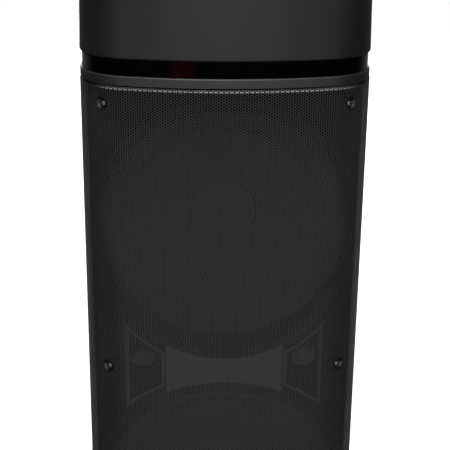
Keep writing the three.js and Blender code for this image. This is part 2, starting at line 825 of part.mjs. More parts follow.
for (const { name, x } of buttons) {
  const profile = [
    [0, panelUnder - 6],
    [buttonRadius - 3, panelUnder - 6],
    [buttonRadius - 3, panelUnder - buttonTravel - 1],
    [buttonRadius, panelUnder - buttonTravel - 1],
    [buttonRadius, panelFace + buttonHeight - 0.8],
    [buttonRadius - 0.8, panelFace + buttonHeight],
    [0, panelFace + buttonHeight - 0.4],
  ];
  const geometry = turned(profile, 14);
  geometry.translate(x, buttonY, 0);
  add(name, solid(geometry), "rubber");
}

const boardTop = panelUnder - 6 - buttonTravel - 2;
let board = box(
  -panelWidth / 2 + panelLedge + 4,
  panelWidth / 2 - panelLedge - 4,
  panelY - panelDepth / 2 + panelLedge + 4,
  panelY + panelDepth / 2 - panelLedge - 4,
  boardTop - 3,
  boardTop,
);
for (const x of [-dialX, 0, dialX]) {
  const body = box(x - 7, x + 7, volumeY - 15, volumeY - 1, boardTop - 1, panelUnder - 2.5);
  board = board
    .add(body)
    .subtract(post(shaftRadius + clearance, x, volumeY - 8, panelUnder - 9, panelUnder, 16));
}
for (const { x } of buttons) {
  board = board.add(box(x - 3, x + 3, buttonY - 3, buttonY + 3, boardTop - 1, boardTop + 1.5));
}
add("control_board", board, "board");

// ---- Rear panel with socket tray, port cover, sockets, inlet and rocker -------------------------------
const panelBackY = panelFaceY - rearPanelThick;
const trayBack = panelBackY - trayDepth;
const trayWidth = coverWidth - 8;
const trayHeight = coverHeight - 10;
const trayZ = coverZ + 2;
const hingeZ = coverZ - coverHeight / 2 + hingeRadius;
const hingeY = panelFaceY - hingeRadius + 0.6;
let rearPanel = solid(
  slab(roundedRect(rearPanelWidth, rearPanelHeight, 8, 0, rearPanelZ), panelBackY, panelFaceY),
)
  .add(
    box(
      -trayWidth / 2 - 2.5,
      trayWidth / 2 + 2.5,
      trayBack - 2.5,
      panelBackY + 1,
      trayZ - trayHeight / 2 - 5,
      trayZ + trayHeight / 2 + 2.5,
    ),
  )
  .add(
    box(
      -coverWidth / 2 - 3.5,
      coverWidth / 2 + 3.5,
      panelBackY - 5,
      panelBackY + 1,
      coverZ - coverHeight / 2 - 3.5,
      coverZ + coverHeight / 2 + 3.5,
    ),
  )
  .subtract(
    box(
      -coverWidth / 2 - 0.4,
      coverWidth / 2 + 0.4,
      panelFaceY - coverThick - 0.6,
      panelFaceY + 5,
      coverZ - coverHeight / 2 - 0.4,
      coverZ + coverHeight / 2 + 0.4,
    ),
  )
  .subtract(
    box(
      -trayWidth / 2,
      trayWidth / 2,
      trayBack,
      panelFaceY + 5,
      trayZ - trayHeight / 2,
      trayZ + trayHeight / 2,
    ),
  )
  .subtract(rod(hingeRadius + 0.5, -coverWidth / 2 - 0.4, coverWidth / 2 + 0.4, hingeY, hingeZ, 20));
for (const side of [-1, 1]) {
  rearPanel = rearPanel.add(
    rod(
      hingePinRadius,
      Math.min(side * (coverWidth / 2 - 5), side * (coverWidth / 2 + 2)),
      Math.max(side * (coverWidth / 2 - 5), side * (coverWidth / 2 + 2)),
      hingeY,
      hingeZ,
      12,
    ),
  );
  rearPanel = rearPanel.subtract(bore(6 + clearance, side * jackX, trayZ, trayBack - 5, trayBack + 1, 20));
}
rearPanel = rearPanel
  .subtract(
    box(
      -usbWidth / 2 - clearance,
      usbWidth / 2 + clearance,
      trayBack - 5,
      trayBack + 1,
      trayZ - usbHeight / 2 - clearance,
      trayZ + usbHeight / 2 + clearance,
    ),
  )
  .subtract(
    box(
      inletX - inletWidth / 2 - 3 - clearance,
      inletX + inletWidth / 2 + 3 + clearance,
      panelBackY - 5,
      panelFaceY + 5,
      lowerRowZ - inletHeight / 2 - 3 - clearance,
      lowerRowZ + inletHeight / 2 + 3 + clearance,
    ),
  )
  .subtract(
    box(
      rockerX - rockerWidth / 2 - 0.5,
      rockerX + rockerWidth / 2 + 0.5,
      panelBackY - 5,
      panelFaceY + 5,
      lowerRowZ - rockerHeight / 2 - 0.9,
      lowerRowZ + rockerHeight / 2 + 0.9,
    ),
  );
add("rear_panel", rearPanel, "mouldedPlastic");

// The cover fills the rebate and turns on two pins at its lower edge.
const coverPlate = box(
  -coverWidth / 2,
  coverWidth / 2,
  panelFaceY - coverThick,
  panelFaceY,
  hingeZ,
  coverZ + coverHeight / 2,
);
const pullTab = box(
  -12,
  12,
  panelFaceY - 1,
  panelFaceY + 3.5,
  coverZ + coverHeight / 2 - 8,
  coverZ + coverHeight / 2 - 5,
);
let cover = coverPlate
  .add(pullTab)
  .add(rod(hingeRadius, -coverWidth / 2, coverWidth / 2, hingeY, hingeZ, 16));
for (const side of [-1, 1]) {
  const from = side * (coverWidth / 2 - 6);
  const to = side * (coverWidth / 2 + 5);
  cover = cover.subtract(
    rod(hingePinRadius + 0.08, Math.min(from, to), Math.max(from, to), hingeY, hingeZ, 12),
  );
}
add("port_cover", cover, "rubber");

for (const side of [-1, 1]) {
  const label = side < 0 ? "left" : "right";
  const unit = new THREE.Group();
  unit.position.set(side * jackX, trayBack + clearance, trayZ);
  unit.rotation.x = -Math.PI / 2;
  speaker.add(unit);
  const jackProfile = [
    [jackBore, 5],
    [jackBore, -22],
    [6, -22],
    [6, 0],
    [jackRadius, 0],
    [jackRadius, 3.5],
    [jackRadius - 1.2, 5],
    [jackBore, 5],
  ];
  add("mic_jack_" + label, solid(turned(jackProfile, 14)), "steel", unit);
}

const usb = box(
  -usbWidth / 2,
  usbWidth / 2,
  trayBack - 14,
  trayBack + 4,
  trayZ - usbHeight / 2,
  trayZ + usbHeight / 2,
)
  .subtract(
    box(
      -usbWidth / 2 + 0.7,
      usbWidth / 2 - 0.7,
      trayBack - 11,
      trayBack + 5,
      trayZ - usbHeight / 2 + 0.7,
      trayZ + usbHeight / 2 - 0.7,
    ),
  )
  .add(box(-usbWidth / 2 + 1.6, usbWidth / 2 - 1.6, trayBack - 12, trayBack + 2, trayZ + 0.4, trayZ + 2.2));
add("usb_socket", usb, "steel");

const inletBackY = panelFaceY - 22;
let inlet = box(
  inletX - inletWidth / 2 - 3,
  inletX + inletWidth / 2 + 3,
  inletBackY,
  panelFaceY + 1.5,
  lowerRowZ - inletHeight / 2 - 3,
  lowerRowZ + inletHeight / 2 + 3,
).subtract(
  box(
    inletX - inletWidth / 2,
    inletX + inletWidth / 2,
    inletBackY + 3,
    panelFaceY + 5,
    lowerRowZ - inletHeight / 2,
    lowerRowZ + inletHeight / 2,
  ),
);
for (const side of [-1, 1]) {
  inlet = inlet.add(bore(1.2, inletX + side * 6.5, lowerRowZ, inletBackY + 1, panelFaceY - 4, 12));
}
add("mains_inlet", inlet, "mouldedPlastic");

const rockerShape = new THREE.Shape();
rockerShape.moveTo(-rockerHeight / 2, 2.2);
rockerShape.lineTo(0, 0.6);
rockerShape.lineTo(rockerHeight / 2, 2.2);
rockerShape.lineTo(rockerHeight / 2 - 1, -4);
rockerShape.lineTo(0, -8);
rockerShape.lineTo(-rockerHeight / 2 + 1, -4);
rockerShape.closePath();
const rockerGeometry = prism(rockerShape, -rockerWidth / 2, rockerWidth / 2, 0);
const rocker = add("power_rocker", solid(rockerGeometry), "glossPlastic");
rocker.geometry.rotateY(-Math.PI / 2);
rocker.geometry.rotateX(THREE.MathUtils.degToRad(rockerTilt));
rocker.position.set(rockerX, panelFaceY, lowerRowZ);

// ---- Bass port ----------------------------------------------------------------------------------------
const portUnit = new THREE.Group();
portUnit.position.set(0, backY - 3 + clearance, portZ);
portUnit.rotation.x = -Math.PI / 2;
speaker.add(portUnit);
const portProfile = [
  [portRadius + 8, 3],
  [portFlange, 3],
  [portFlange, 0],
  [portRadius + 4, 0],
  [portRadius + 3, -portLength],
  [portRadius, -portLength],
  [portRadius, -12],
  [portRadius + 2.5, -3],
  [portRadius + 8, 3],
];
add("bass_port", solid(turned(portProfile, 24)), "mouldedPlastic", portUnit);

// ---- Amplifier and battery inside the cabinet ---------------------------------------------------------
const ampFront = trayBack - 2.5 - amplifierReach;
const ampHalf = amplifierHeight / 2;
let amplifier = box(
  -amplifierWidth / 2,
  amplifierWidth / 2,
  ampFront,
  ampFront + 4,
  rearPanelZ - ampHalf,
  rearPanelZ + ampHalf,
);
for (let i = 0; i < 6; i++) {
  const x = -55 + i * 22;
  const fin = box(x - 1.5, x + 1.5, ampFront - 26, ampFront + 1, rearPanelZ - 60, rearPanelZ + 60);
  amplifier = amplifier.add(fin);
}
for (const side of [-1, 1]) {
  const x = side * (amplifierWidth / 2 - 8);
  const legFrom = rearPanelZ - ampHalf + 2;
  const leg = box(x - 4, x + 4, ampFront + 2, panelBackY - clearance, legFrom, legFrom + 10);
  amplifier = amplifier.add(leg);
}
add("amplifier_board", amplifier, "board");

const batteryBottom = plinthTop + cabinetWall + clearance;
const batteryShape = roundedRect(batteryWidth, batteryDepth, 8, 0, backY - batteryReach);
const battery = solid(prism(batteryShape, batteryBottom, batteryBottom + batteryHeight));
add("battery_pack", battery, "cell");

// ---- Base plinth with wheel wells, feet, axle and wheels ----------------------------------------------
let plinth = planSolid(0, footHeight, plinthTop)
  .subtract(planSolid(plinthWall, footHeight - 5, plinthTop - plinthWall));
const wellInner = wheelX - wheelWidth / 2 - 3;
const wellOuter = wheelX + wheelWidth / 2 + 3;
const wellFront = wheelY - wheelRadius - 4;
for (const side of [-1, 1]) {
  const x0 = Math.min(side * wellInner, side * wellOuter);
  const x1 = Math.max(side * wellInner, side * wellOuter);
  const y1 = backY + 5;
  const walls = box(x0 - 4, x1 + 4, wellFront - 4, y1, footHeight + 3, plinthTop - 2);
  plinth = plinth.add(walls.intersect(planSolid(0, footHeight, plinthTop)));
}
for (const side of [-1, 1]) {
  const x0 = Math.min(side * wellInner, side * wellOuter);
  const x1 = Math.max(side * wellInner, side * wellOuter);
  plinth = plinth
    .subtract(box(x0, x1, wellFront, backY + 5, footHeight - 5, wheelTop + wheelRoom))
    .subtract(
      rod(axleRadius + clearance, -wellOuter - 4.5, wellOuter + 4.5, wheelY, wheelZ, 16),
    );
}
const footPlaces = [
  { name: "foot_front_left", x: -footX, y: footFrontY },
  { name: "foot_front_right", x: footX, y: footFrontY },
  { name: "foot_rear_left", x: -footX + 40, y: footRearY },
  { name: "foot_rear_right", x: footX - 40, y: footRearY },
];
for (const { x, y } of footPlaces) {
  plinth = plinth
    .add(post(footRadius + 3, x, y, footHeight + 2, plinthTop - 1, 12))
    .subtract(post(footRadius - 6 + 3 * clearance, x, y, footHeight, footHeight + 6, 12));
}
add("base_plinth", plinth, "mouldedPlastic");

for (const { name, x, y } of footPlaces) {
  const profile = [
    [0, 0],
    [footRadius - 3, 0],
    [footRadius, 3],
    [footRadius, footHeight + 2 - clearance],
    [footRadius - 6, footHeight + 2 - clearance],
    [footRadius - 6, footHeight + 6 - clearance],
    [0, footHeight + 6 - clearance],
  ];
  const geometry = turned(profile, 16);
  geometry.translate(x, y, 0);
  add(name, solid(geometry), "rubber");
}

add("axle", rod(axleRadius, -wellOuter - 4, wellOuter + 4, wheelY, wheelZ, 20), "steel");

for (const side of [-1, 1]) {
  const half = wheelWidth / 2;
  const hub = axleRadius + clearance;
  const wheelProfile = [
    [hub, -half + 1],
    [10, -half + 1],
    [10, -half + 5],
    [wheelRadius - 6, -half + 5],
    [wheelRadius - 6, -half],
    [wheelRadius - 2, -half],
    [wheelRadius, -half + 3],
    [wheelRadius, half - 3],
    [wheelRadius - 2, half],
    [hub, half],
    [hub, -half + 1],
  ];
  const geometry = turned(wheelProfile, 20);
  geometry.rotateY(Math.PI / 2);
  geometry.translate(side * wheelX, wheelY, wheelZ);
  add(side < 0 ? "wheel_left" : "wheel_right", solid(geometry), "rubber");
}

export default speaker;
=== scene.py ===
"""Looks of a tall party speaker: perforated steel front, gloss display band, moulded cap and wheeled base."""

import json
import logging
import math
from dataclasses import dataclass, field
from enum import Enum
from typing import Callable, Iterable, Sequence

import bmesh
import bpy
from mathutils import Matrix, Vector

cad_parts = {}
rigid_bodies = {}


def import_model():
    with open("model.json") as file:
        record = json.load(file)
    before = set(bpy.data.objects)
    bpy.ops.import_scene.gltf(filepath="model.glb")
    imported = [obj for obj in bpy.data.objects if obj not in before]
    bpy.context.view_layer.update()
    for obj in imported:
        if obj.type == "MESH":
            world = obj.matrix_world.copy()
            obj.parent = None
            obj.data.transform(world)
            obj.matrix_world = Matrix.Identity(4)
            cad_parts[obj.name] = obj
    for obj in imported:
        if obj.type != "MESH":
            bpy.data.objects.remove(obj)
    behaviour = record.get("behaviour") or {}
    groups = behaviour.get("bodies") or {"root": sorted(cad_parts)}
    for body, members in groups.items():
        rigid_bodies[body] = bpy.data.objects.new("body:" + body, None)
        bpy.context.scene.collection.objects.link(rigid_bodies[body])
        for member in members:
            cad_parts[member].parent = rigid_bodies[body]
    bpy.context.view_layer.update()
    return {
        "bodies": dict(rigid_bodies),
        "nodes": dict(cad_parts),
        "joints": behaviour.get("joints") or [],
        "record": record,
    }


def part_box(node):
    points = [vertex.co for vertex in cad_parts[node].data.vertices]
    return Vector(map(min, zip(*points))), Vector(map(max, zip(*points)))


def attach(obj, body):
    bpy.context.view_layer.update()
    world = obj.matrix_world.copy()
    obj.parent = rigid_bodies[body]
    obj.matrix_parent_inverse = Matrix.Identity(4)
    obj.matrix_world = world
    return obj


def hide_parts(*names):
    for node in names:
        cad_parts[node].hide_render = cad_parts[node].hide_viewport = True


LOG = logging.getLogger("party_speaker")
ROOT = "cabinet"
Point = tuple[float, float, float]
Section = list[tuple[float, float]]


# ---- Node webs ----------------------------------------------------------------------------------------


class Web:
    """A node tree with short calls for adding and joining nodes."""

    def __init__(self, tree: bpy.types.NodeTree) -> None:
        """Wraps a tree.

        Args:
            tree: the node tree that the calls add to.
        """
        self.tree = tree

    def add(self, kind: str, **values: object) -> bpy.types.Node:
        """Adds a node and sets its properties and inputs.

        Args:
            kind: the node's Blender type name.
            values: properties of the node, or input values by socket name with spaces written as underscores.

        Returns:
            The new node.
        """
        node = self.tree.nodes.new(kind)
        for key, value in values.items():
            if hasattr(node, key):
                setattr(node, key, value)
        for key, value in values.items():
            if not hasattr(node, key):
                node.inputs[key.replace("_", " ")].default_value = value
        return node

    def link(self, source: bpy.types.NodeSocket, target: bpy.types.NodeSocket) -> None:
        """Joins an output to an input."""
        self.tree.links.new(source, target)

    def math(self, how: str, a: object, b: object = 0.0, clamp: bool = False) -> bpy.types.NodeSocket:
        """Adds a Math node.

        Args:
            how: the operation.
            a: a socket or a number.
            b: a socket or a number.
            clamp: whether the result is held between 0 and 1.

        Returns:
            The node's result.
        """
        node = self.tree.nodes.new("ShaderNodeMath")
        node.operation = how
        node.use_clamp = clamp
        for socket, value in zip(node.inputs, (a, b)):
            if isinstance(value, (int, float)):
                socket.default_value = value
            else:
                self.link(value, socket)
        return node.outputs[0]

    def vector(self, how: str, a: object, b: object = (0.0, 0.0, 0.0)) -> bpy.types.Node:
        """Adds a Vector Math node.

        Args:
            how: the operation.
            a: a socket or three numbers.
            b: a socket or three numbers.

        Returns:
            The node.
        """
        node = self.tree.nodes.new("ShaderNodeVectorMath")
        node.operation = how
        for socket, value in zip(node.inputs, (a, b)):
            if isinstance(value, tuple):
                socket.default_value = value
            else:
                self.link(value, socket)
        return node

    def ramp(self, value: object, low: float, high: float, out: tuple[float, float]) -> bpy.types.NodeSocket:
        """Maps a value smoothly from one span to another.

        Args:
            value: the socket to map.
            low: the start of its span.
            high: the end of its span.
            out: the two ends of the result.

        Returns:
            The mapped value.
        """
        node = self.tree.nodes.new("ShaderNodeMapRange")
        node.interpolation_type = "SMOOTHSTEP"
        self.link(value, node.inputs["Value"])
        node.inputs["From Min"].default_value = low
        node.inputs["From Max"].default_value = high
        node.inputs["To Min"].default_value = out[0]
        node.inputs["To Max"].default_value = out[1]
        return node.outputs["Result"]

    def mix(self, factor: object, a: object, b: object) -> bpy.types.NodeSocket:
        """Mixes two colours.

        Args:
            factor: a socket or a number.
            a: the colour at 0, a socket or three numbers.
            b: the colour at 1, a socket or three numbers.

        Returns:
            The mixed colour.
        """
        node = self.tree.nodes.new("ShaderNodeMix")
        node.data_type = "RGBA"
        for socket, value in zip((node.inputs[0], node.inputs[6], node.inputs[7]), (factor, a, b)):
            if isinstance(value, (int, float)):
                socket.default_value = value
            elif isinstance(value, tuple):
                socket.default_value = (*value, 1.0)
            else:
                self.link(value, socket)
        return node.outputs[2]


class Effect(Enum):
    """The shared effects, each one a node group."""

    GRAIN = "fine_grain"
    MOTTLE = "soft_mottle"
    WEAR = "edge_wear"
    DUST = "settled_dust"
    PERFORATION = "hex_perforation"


def new_group(effect: Effect, inputs: dict[str, float], outputs: Sequence[str]) -> tuple[Web, dict, dict]:
    """Starts a node group with named float inputs and outputs.

    Args:
        effect: which effect the group holds.
        inputs: each input's name and default value.
        outputs: the names of the outputs.

    Returns:
        The group's web, its input sockets by name and its output sockets by name.
    """
    tree = bpy.data.node_groups.new(effect.value, "ShaderNodeTree")
    for name, value in inputs.items():
        socket = tree.interface.new_socket(name, in_out="INPUT", socket_type="NodeSocketFloat")
        socket.default_value = value
    for name in outputs:
        tree.interface.new_socket(name, in_out="OUTPUT", socket_type="NodeSocketFloat")
    source = tree.nodes.new("NodeGroupInput")
    sink = tree.nodes.new("NodeGroupOutput")
    return Web(tree), {s.name: s for s in source.outputs}, {s.name: s for s in sink.inputs}


def build_grain() -> None:
    """Builds the spark texture of moulded plastic: small pits with finer noise over them."""
    web, given, out = new_group(Effect.GRAIN, {"Scale": 900.0, "Pits": 0.5}, ["Height", "Sheen"])
    place = web.add("ShaderNodeTexCoord").outputs["Object"]
    pits = web.add("ShaderNodeTexVoronoi", feature="F1")
    web.link(place, pits.inputs["Vector"])
    web.link(given["Scale"], pits.inputs["Scale"])
    fine = web.add("ShaderNodeTexNoise", Detail=3.0, Roughness=0.6)
    web.link(place, fine.inputs["Vector"])
    web.link(web.math("MULTIPLY", given["Scale"], 1.7), fine.inputs["Scale"])
    rough = web.math("MULTIPLY", pits.outputs["Distance"], given["Pits"])
    height = web.math("ADD", rough, fine.outputs[0])
    web.link(height, out["Height"])
    web.link(web.ramp(fine.outputs[0], 0.3, 0.7, (0.0, 1.0)), out["Sheen"])


def build_mottle() -> None:
    """Builds a slow change of tone over a surface."""
    web, given, out = new_group(Effect.MOTTLE, {"Scale": 9.0}, ["Tone"])
    place = web.add("ShaderNodeTexCoord").outputs["Object"]
    noise = web.add("ShaderNodeTexNoise", Detail=5.0, Roughness=0.55, Distortion=0.4)
    web.link(place, noise.inputs["Vector"])
    web.link(given["Scale"], noise.inputs["Scale"])
    web.link(web.ramp(noise.outputs[0], 0.3, 0.7, (0.0, 1.0)), out["Tone"])


def build_wear() -> None:
    """Builds a mask that is strongest on outer edges, broken up by noise."""
    web, given, out = new_group(Effect.WEAR, {"Amount": 0.5}, ["Mask"])
    edge = web.add("ShaderNodeNewGeometry").outputs["Pointiness"]
    place = web.add("ShaderNodeTexCoord").outputs["Object"]
    noise = web.add("ShaderNodeTexNoise", Scale=140.0, Detail=4.0)
    web.link(place, noise.inputs["Vector"])
    sharp = web.ramp(edge, 0.52, 0.62, (0.0, 1.0))
    broken = web.math("MULTIPLY", sharp, web.ramp(noise.outputs[0], 0.4, 0.65, (0.0, 1.0)))
    web.link(web.math("MULTIPLY", broken, given["Amount"], clamp=True), out["Mask"])


def build_dust() -> None:
    """Builds a thin film that lies on faces turned upwards."""
    web, given, out = new_group(Effect.DUST, {"Amount": 0.3}, ["Mask"])
    normal = web.add("ShaderNodeSeparateXYZ")
    web.link(web.add("ShaderNodeNewGeometry").outputs["Normal"], normal.inputs[0])
    place = web.add("ShaderNodeTexCoord").outputs["Object"]
    noise = web.add("ShaderNodeTexNoise", Scale=60.0, Detail=6.0, Roughness=0.7)
    web.link(place, noise.inputs["Vector"])
    upward = web.ramp(normal.outputs["Z"], 0.5, 1.0, (0.0, 1.0))
    specks = web.ramp(noise.outputs[0], 0.42, 0.75, (0.0, 1.0))
    web.link(web.math("MULTIPLY", web.math("MULTIPLY", upward, specks), given["Amount"]), out["Mask"])


def build_perforation() -> None:
    """Builds round holes on a hexagonal lattice over the sheet's flattened coordinates.

    The group gives the sheet's mask and how far its face leans across and up towards the nearest hole.
    """
    web, given, out = new_group(
        Effect.PERFORATION,
        {"Across": 1.0, "Up": 1.0, "Pitch": 0.00325, "Hole": 0.0011, "Edge": 0.0003},
        ["Sheet", "Lean Across", "Lean Up"],
    )
    pitch = given["Pitch"]
    column = web.math("MULTIPLY", pitch, math.sqrt(3.0))

    def offsets(shift: float) -> tuple[bpy.types.NodeSocket, bpy.types.NodeSocket, bpy.types.NodeSocket]:
        """The way from the nearest hole centre of one rectangular half of the lattice, and its length."""
        legs = []
        for place, size in ((given["Across"], column), (given["Up"], pitch)):
            cell = web.math("ADD", web.math("DIVIDE", place, size), shift)
            legs.append(web.math("MULTIPLY", web.math("SUBTRACT", web.math("FRACT", cell), 0.5), size))
        squares = [web.math("MULTIPLY", leg, leg) for leg in legs]
        return legs[0], legs[1], web.math("SQRT", web.math("ADD", squares[0], squares[1]))

    first, second = offsets(0.0), offsets(0.5)
    nearer = web.math("LESS_THAN", first[2], second[2])
    away = web.math("MINIMUM", first[2], second[2])
    beyond = web.math("SUBTRACT", away, given["Hole"])
    web.link(web.ramp(beyond, -0.00003, 0.00003, (0.0, 1.0)), out["Sheet"])
    share = web.math("SUBTRACT", 1.0, web.math("DIVIDE", beyond, given["Edge"], clamp=True))
    for k, name in ((0, "Lean Across"), (1, "Lean Up")):
        gap = web.math("SUBTRACT", first[k], second[k])
        leg = web.math("ADD", second[k], web.math("MULTIPLY", gap, nearer))
        lean = web.math("MULTIPLY", web.math("DIVIDE", leg, away), -1.0)
        web.link(web.math("MULTIPLY", lean, share), out[name])


# ---- Finishes -----------------------------------------------------------------------------------------


@dataclass(frozen=True)
class Finish:
    """A surface finish: its base colour, how it shines and how its shared effects are set.

    Grain is the scale of the spark texture per metre and relief is its depth in metres.
    """

    name: str
    colour: tuple[float, float, float]
    roughness: float = 0.5
    metallic: float = 0.0
    tone: float = 0.25
    tone_scale: float = 9.0
    grain: float = 900.0
    pits: float = 0.5
    relief: float = 0.00004
    wear: float = 0.25
    worn_and_lit: tuple[float, float, float] = (0.16, 0.16, 0.165)
    dust: float = 0.1
    coat: float = 0.0
    sheen: float = 0.0
    specular: float = 0.5

    def material(self) -> bpy.types.Material:
        """The material that has the finish's name, one that the frame brought included, or else a new one."""
        made = bpy.data.materials.get(self.name)
        return made if made else self.build()

    def effect(self, web: Web, effect: Effect, **values: float) -> bpy.types.Node:
        """Places a shared effect in a material.

        Args:
            web: the material's web.
            effect: which effect.
            values: the group's input values by name.

        Returns:
            The group node.
        """
        node = web.add("ShaderNodeGroup")
        node.node_tree = bpy.data.node_groups[effect.value]
        for key, value in values.items():
            node.inputs[key].default_value = value
        return node

    def build(self) -> bpy.types.Material:
        """Builds the material with its Principled shader and effects."""
        material = bpy.data.materials.new(self.name)
        material.use_nodes = True
        web = Web(material.node_tree)
        shader = material.node_tree.nodes["Principled BSDF"]
        shader.inputs["Metallic"].default_value = self.metallic
        shader.inputs["Coat Weight"].default_value = self.coat
        shader.inputs["Coat Roughness"].default_value = 0.03
        shader.inputs["Sheen Weight"].default_value = self.sheen
        shader.inputs["Specular IOR Level"].default_value = self.specular
        self.dress(web, shader)
        return material

    def dress(self, web: Web, shader: bpy.types.Node) -> None:
        """Joins colour, roughness and relief to the shader.

        Args:
            web: the material's web.
            shader: its Principled shader.
        """
        grain = self.effect(web, Effect.GRAIN, Scale=self.grain, Pits=self.pits)
        mottle = self.effect(web, Effect.MOTTLE, Scale=self.tone_scale)
        dark = tuple(c * (1.0 - self.tone) for c in self.colour)
        light = tuple(min(c * (1.0 + self.tone), 1.0) for c in self.colour)
        colour = web.mix(mottle.outputs["Tone"], dark, light)
        if self.wear > 0.0:
            wear = self.effect(web, Effect.WEAR, Amount=self.wear)
            colour = web.mix(wear.outputs["Mask"], colour, self.worn_and_lit)
        if self.dust > 0.0:
            dust = self.effect(web, Effect.DUST, Amount=self.dust)
            colour = web.mix(dust.outputs["Mask"], colour, (0.22, 0.215, 0.2))
        web.link(self.marked(web, colour), shader.inputs["Base Color"])
        spread = web.ramp(grain.outputs["Sheen"], 0.0, 1.0, (self.roughness - 0.05, self.roughness + 0.05))
        slow = web.ramp(mottle.outputs["Tone"], 0.0, 1.0, (-0.03, 0.03))
        web.link(web.math("ADD", spread, slow, clamp=True), shader.inputs["Roughness"])
        bump = web.add("ShaderNodeBump", Strength=0.6, Distance=self.relief)
        web.link(self.height(web, grain.outputs["Height"]), bump.inputs["Height"])
        web.link(bump.outputs[0], shader.inputs["Normal"])

    def marked(self, web: Web, colour: bpy.types.NodeSocket) -> bpy.types.NodeSocket:
        """The colour with any marks of this finish; plain here."""
        return colour

    def height(self, web: Web, grain: bpy.types.NodeSocket) -> bpy.types.NodeSocket:
        """The relief of this finish; the grain alone here."""
        return grain


@dataclass(frozen=True)
class PerforatedFinish(Finish):
    """Powder-coated sheet punched with round holes on a hexagonal lattice."""

    pitch: float = 0.00325
    hole: float = 0.00138
    edge: float = 0.0003
    lean: float = 2.3
    bends: tuple[float, float] = (0.0, 0.6876)
    # Pale colour painted along the bends as a highlight, where the folded edges catch the light.
    bend_highlight: tuple[float, float, float] = (0.92, 0.92, 0.90)

    def dress(self, web: Web, shader: bpy.types.Node) -> None:
        """Adds the holes and their rounded edges to the plain finish.

        Args:
            web: the material's web.
            shader: its Principled shader.
        """
        super().dress(web, shader)
        place = self.flat(web)
        holes = self.effect(web, Effect.PERFORATION, Pitch=self.pitch, Hole=self.hole, Edge=self.edge)
        web.link(web.math("MULTIPLY", place.outputs[0], GrilleSheet.UV_METRES), holes.inputs["Across"])
        web.link(web.math("MULTIPLY", place.outputs[1], GrilleSheet.UV_METRES), holes.inputs["Up"])
        glance = web.add("ShaderNodeLayerWeight", Blend=0.5).outputs["Facing"]
        closed = web.ramp(glance, 0.62, 0.8, (0.0, 1.0))
        web.link(web.math("MAXIMUM", holes.outputs["Sheet"], closed), shader.inputs["Alpha"])
        face = web.add("ShaderNodeNewGeometry").outputs["Normal"]
        side = web.vector("CROSS_PRODUCT", (0.0, 0.0, 1.0), face).outputs[0]
        parts = [face]
        for name, way in (("Lean Across", side), ("Lean Up", (0.0, 0.0, 1.0))):
            scaled = web.vector("SCALE", way)
            web.link(web.math("MULTIPLY", holes.outputs[name], self.lean), scaled.inputs["Scale"])
            parts.append(scaled.outputs[0])
        total = web.vector("ADD", web.vector("ADD", parts[0], parts[1]).outputs[0], parts[2])
        web.link(web.vector("NORMALIZE", total.outputs[0]).outputs[0], shader.inputs["Normal"])

    def flat(self, web: Web) -> bpy.types.Node:
        """The sheet's flattened coordinates, taken apart."""
        place = web.add("ShaderNodeSeparateXYZ")
        web.link(web.add("ShaderNodeUVMap", uv_map="OFBake").outputs[0], place.inputs[0])
        return place

    def marked(self, web: Web, colour: bpy.types.NodeSocket) -> bpy.types.NodeSocket:
        """Paints a pale highlight along the two bends, fading towards the side corners, and paints the inner
        face near black as shade.

        Args:
            web: the material's web.
            colour: the plain colour.

        Returns:
            The colour with painted highlights on the bends and painted shade on the inner face.
        """
        metres = web.math("MULTIPLY", self.flat(web).outputs[1], GrilleSheet.UV_METRES)
        height = web.math("SUBTRACT", metres, GrilleSheet.UV_START)
        low, high = self.bends
        upper = web.ramp(height, high - 0.0001, high + 0.0004, (0.0, 1.0))
        lower = web.ramp(height, low - 0.0004, low + 0.0001, (1.0, 0.0))
        across = web.math("ABSOLUTE", web.math("SUBTRACT", self.flat(web).outputs[0], 0.5))
        # The painted highlight fades out towards the side corners, where the bends turn away from the front
        # light.
        front = web.ramp(web.math("MULTIPLY", across, GrilleSheet.UV_METRES), 0.125, 0.165, (1.0, 0.0))
        bend_highlight = web.math("MULTIPLY", web.math("ADD", upper, lower, clamp=True), front)
        # The inner face of the sheet is painted near black as shade, so the holes read dark.
        inside = web.add("ShaderNodeNewGeometry").outputs["Backfacing"]
        worn_and_lit = web.mix(bend_highlight, colour, self.bend_highlight)
        return web.mix(inside, worn_and_lit, (0.002, 0.002, 0.002))


@dataclass(frozen=True)
class WindowedGloss(Finish):
    """Polished black with a dark red receiver window in it."""

    window: tuple[float, float] = (-0.062, -0.036)
    window_colour: tuple[float, float, float] = (0.008, 0.0009, 0.0007)

    def marked(self, web: Web, colour: bpy.types.NodeSocket) -> bpy.types.NodeSocket:
        """Tints the band behind the window.

        Args:
            web: the material's web.
            colour: the plain colour.

        Returns:
            The colour with the window in it.
        """
        place = web.add("ShaderNodeSeparateXYZ")
        web.link(web.add("ShaderNodeTexCoord").outputs["Object"], place.inputs[0])
        soft = 0.006
        left = web.ramp(place.outputs["X"], self.window[0] - soft, self.window[0] + soft, (0.0, 1.0))
        right = web.ramp(place.outputs["X"], self.window[1] - soft, self.window[1] + soft, (1.0, 0.0))
        front = web.ramp(place.outputs["Y"], -0.1, -0.09, (1.0, 0.0))
        mask = web.math("MULTIPLY", web.math("MULTIPLY", left, right), front)
        return web.mix(mask, colour, self.window_colour)


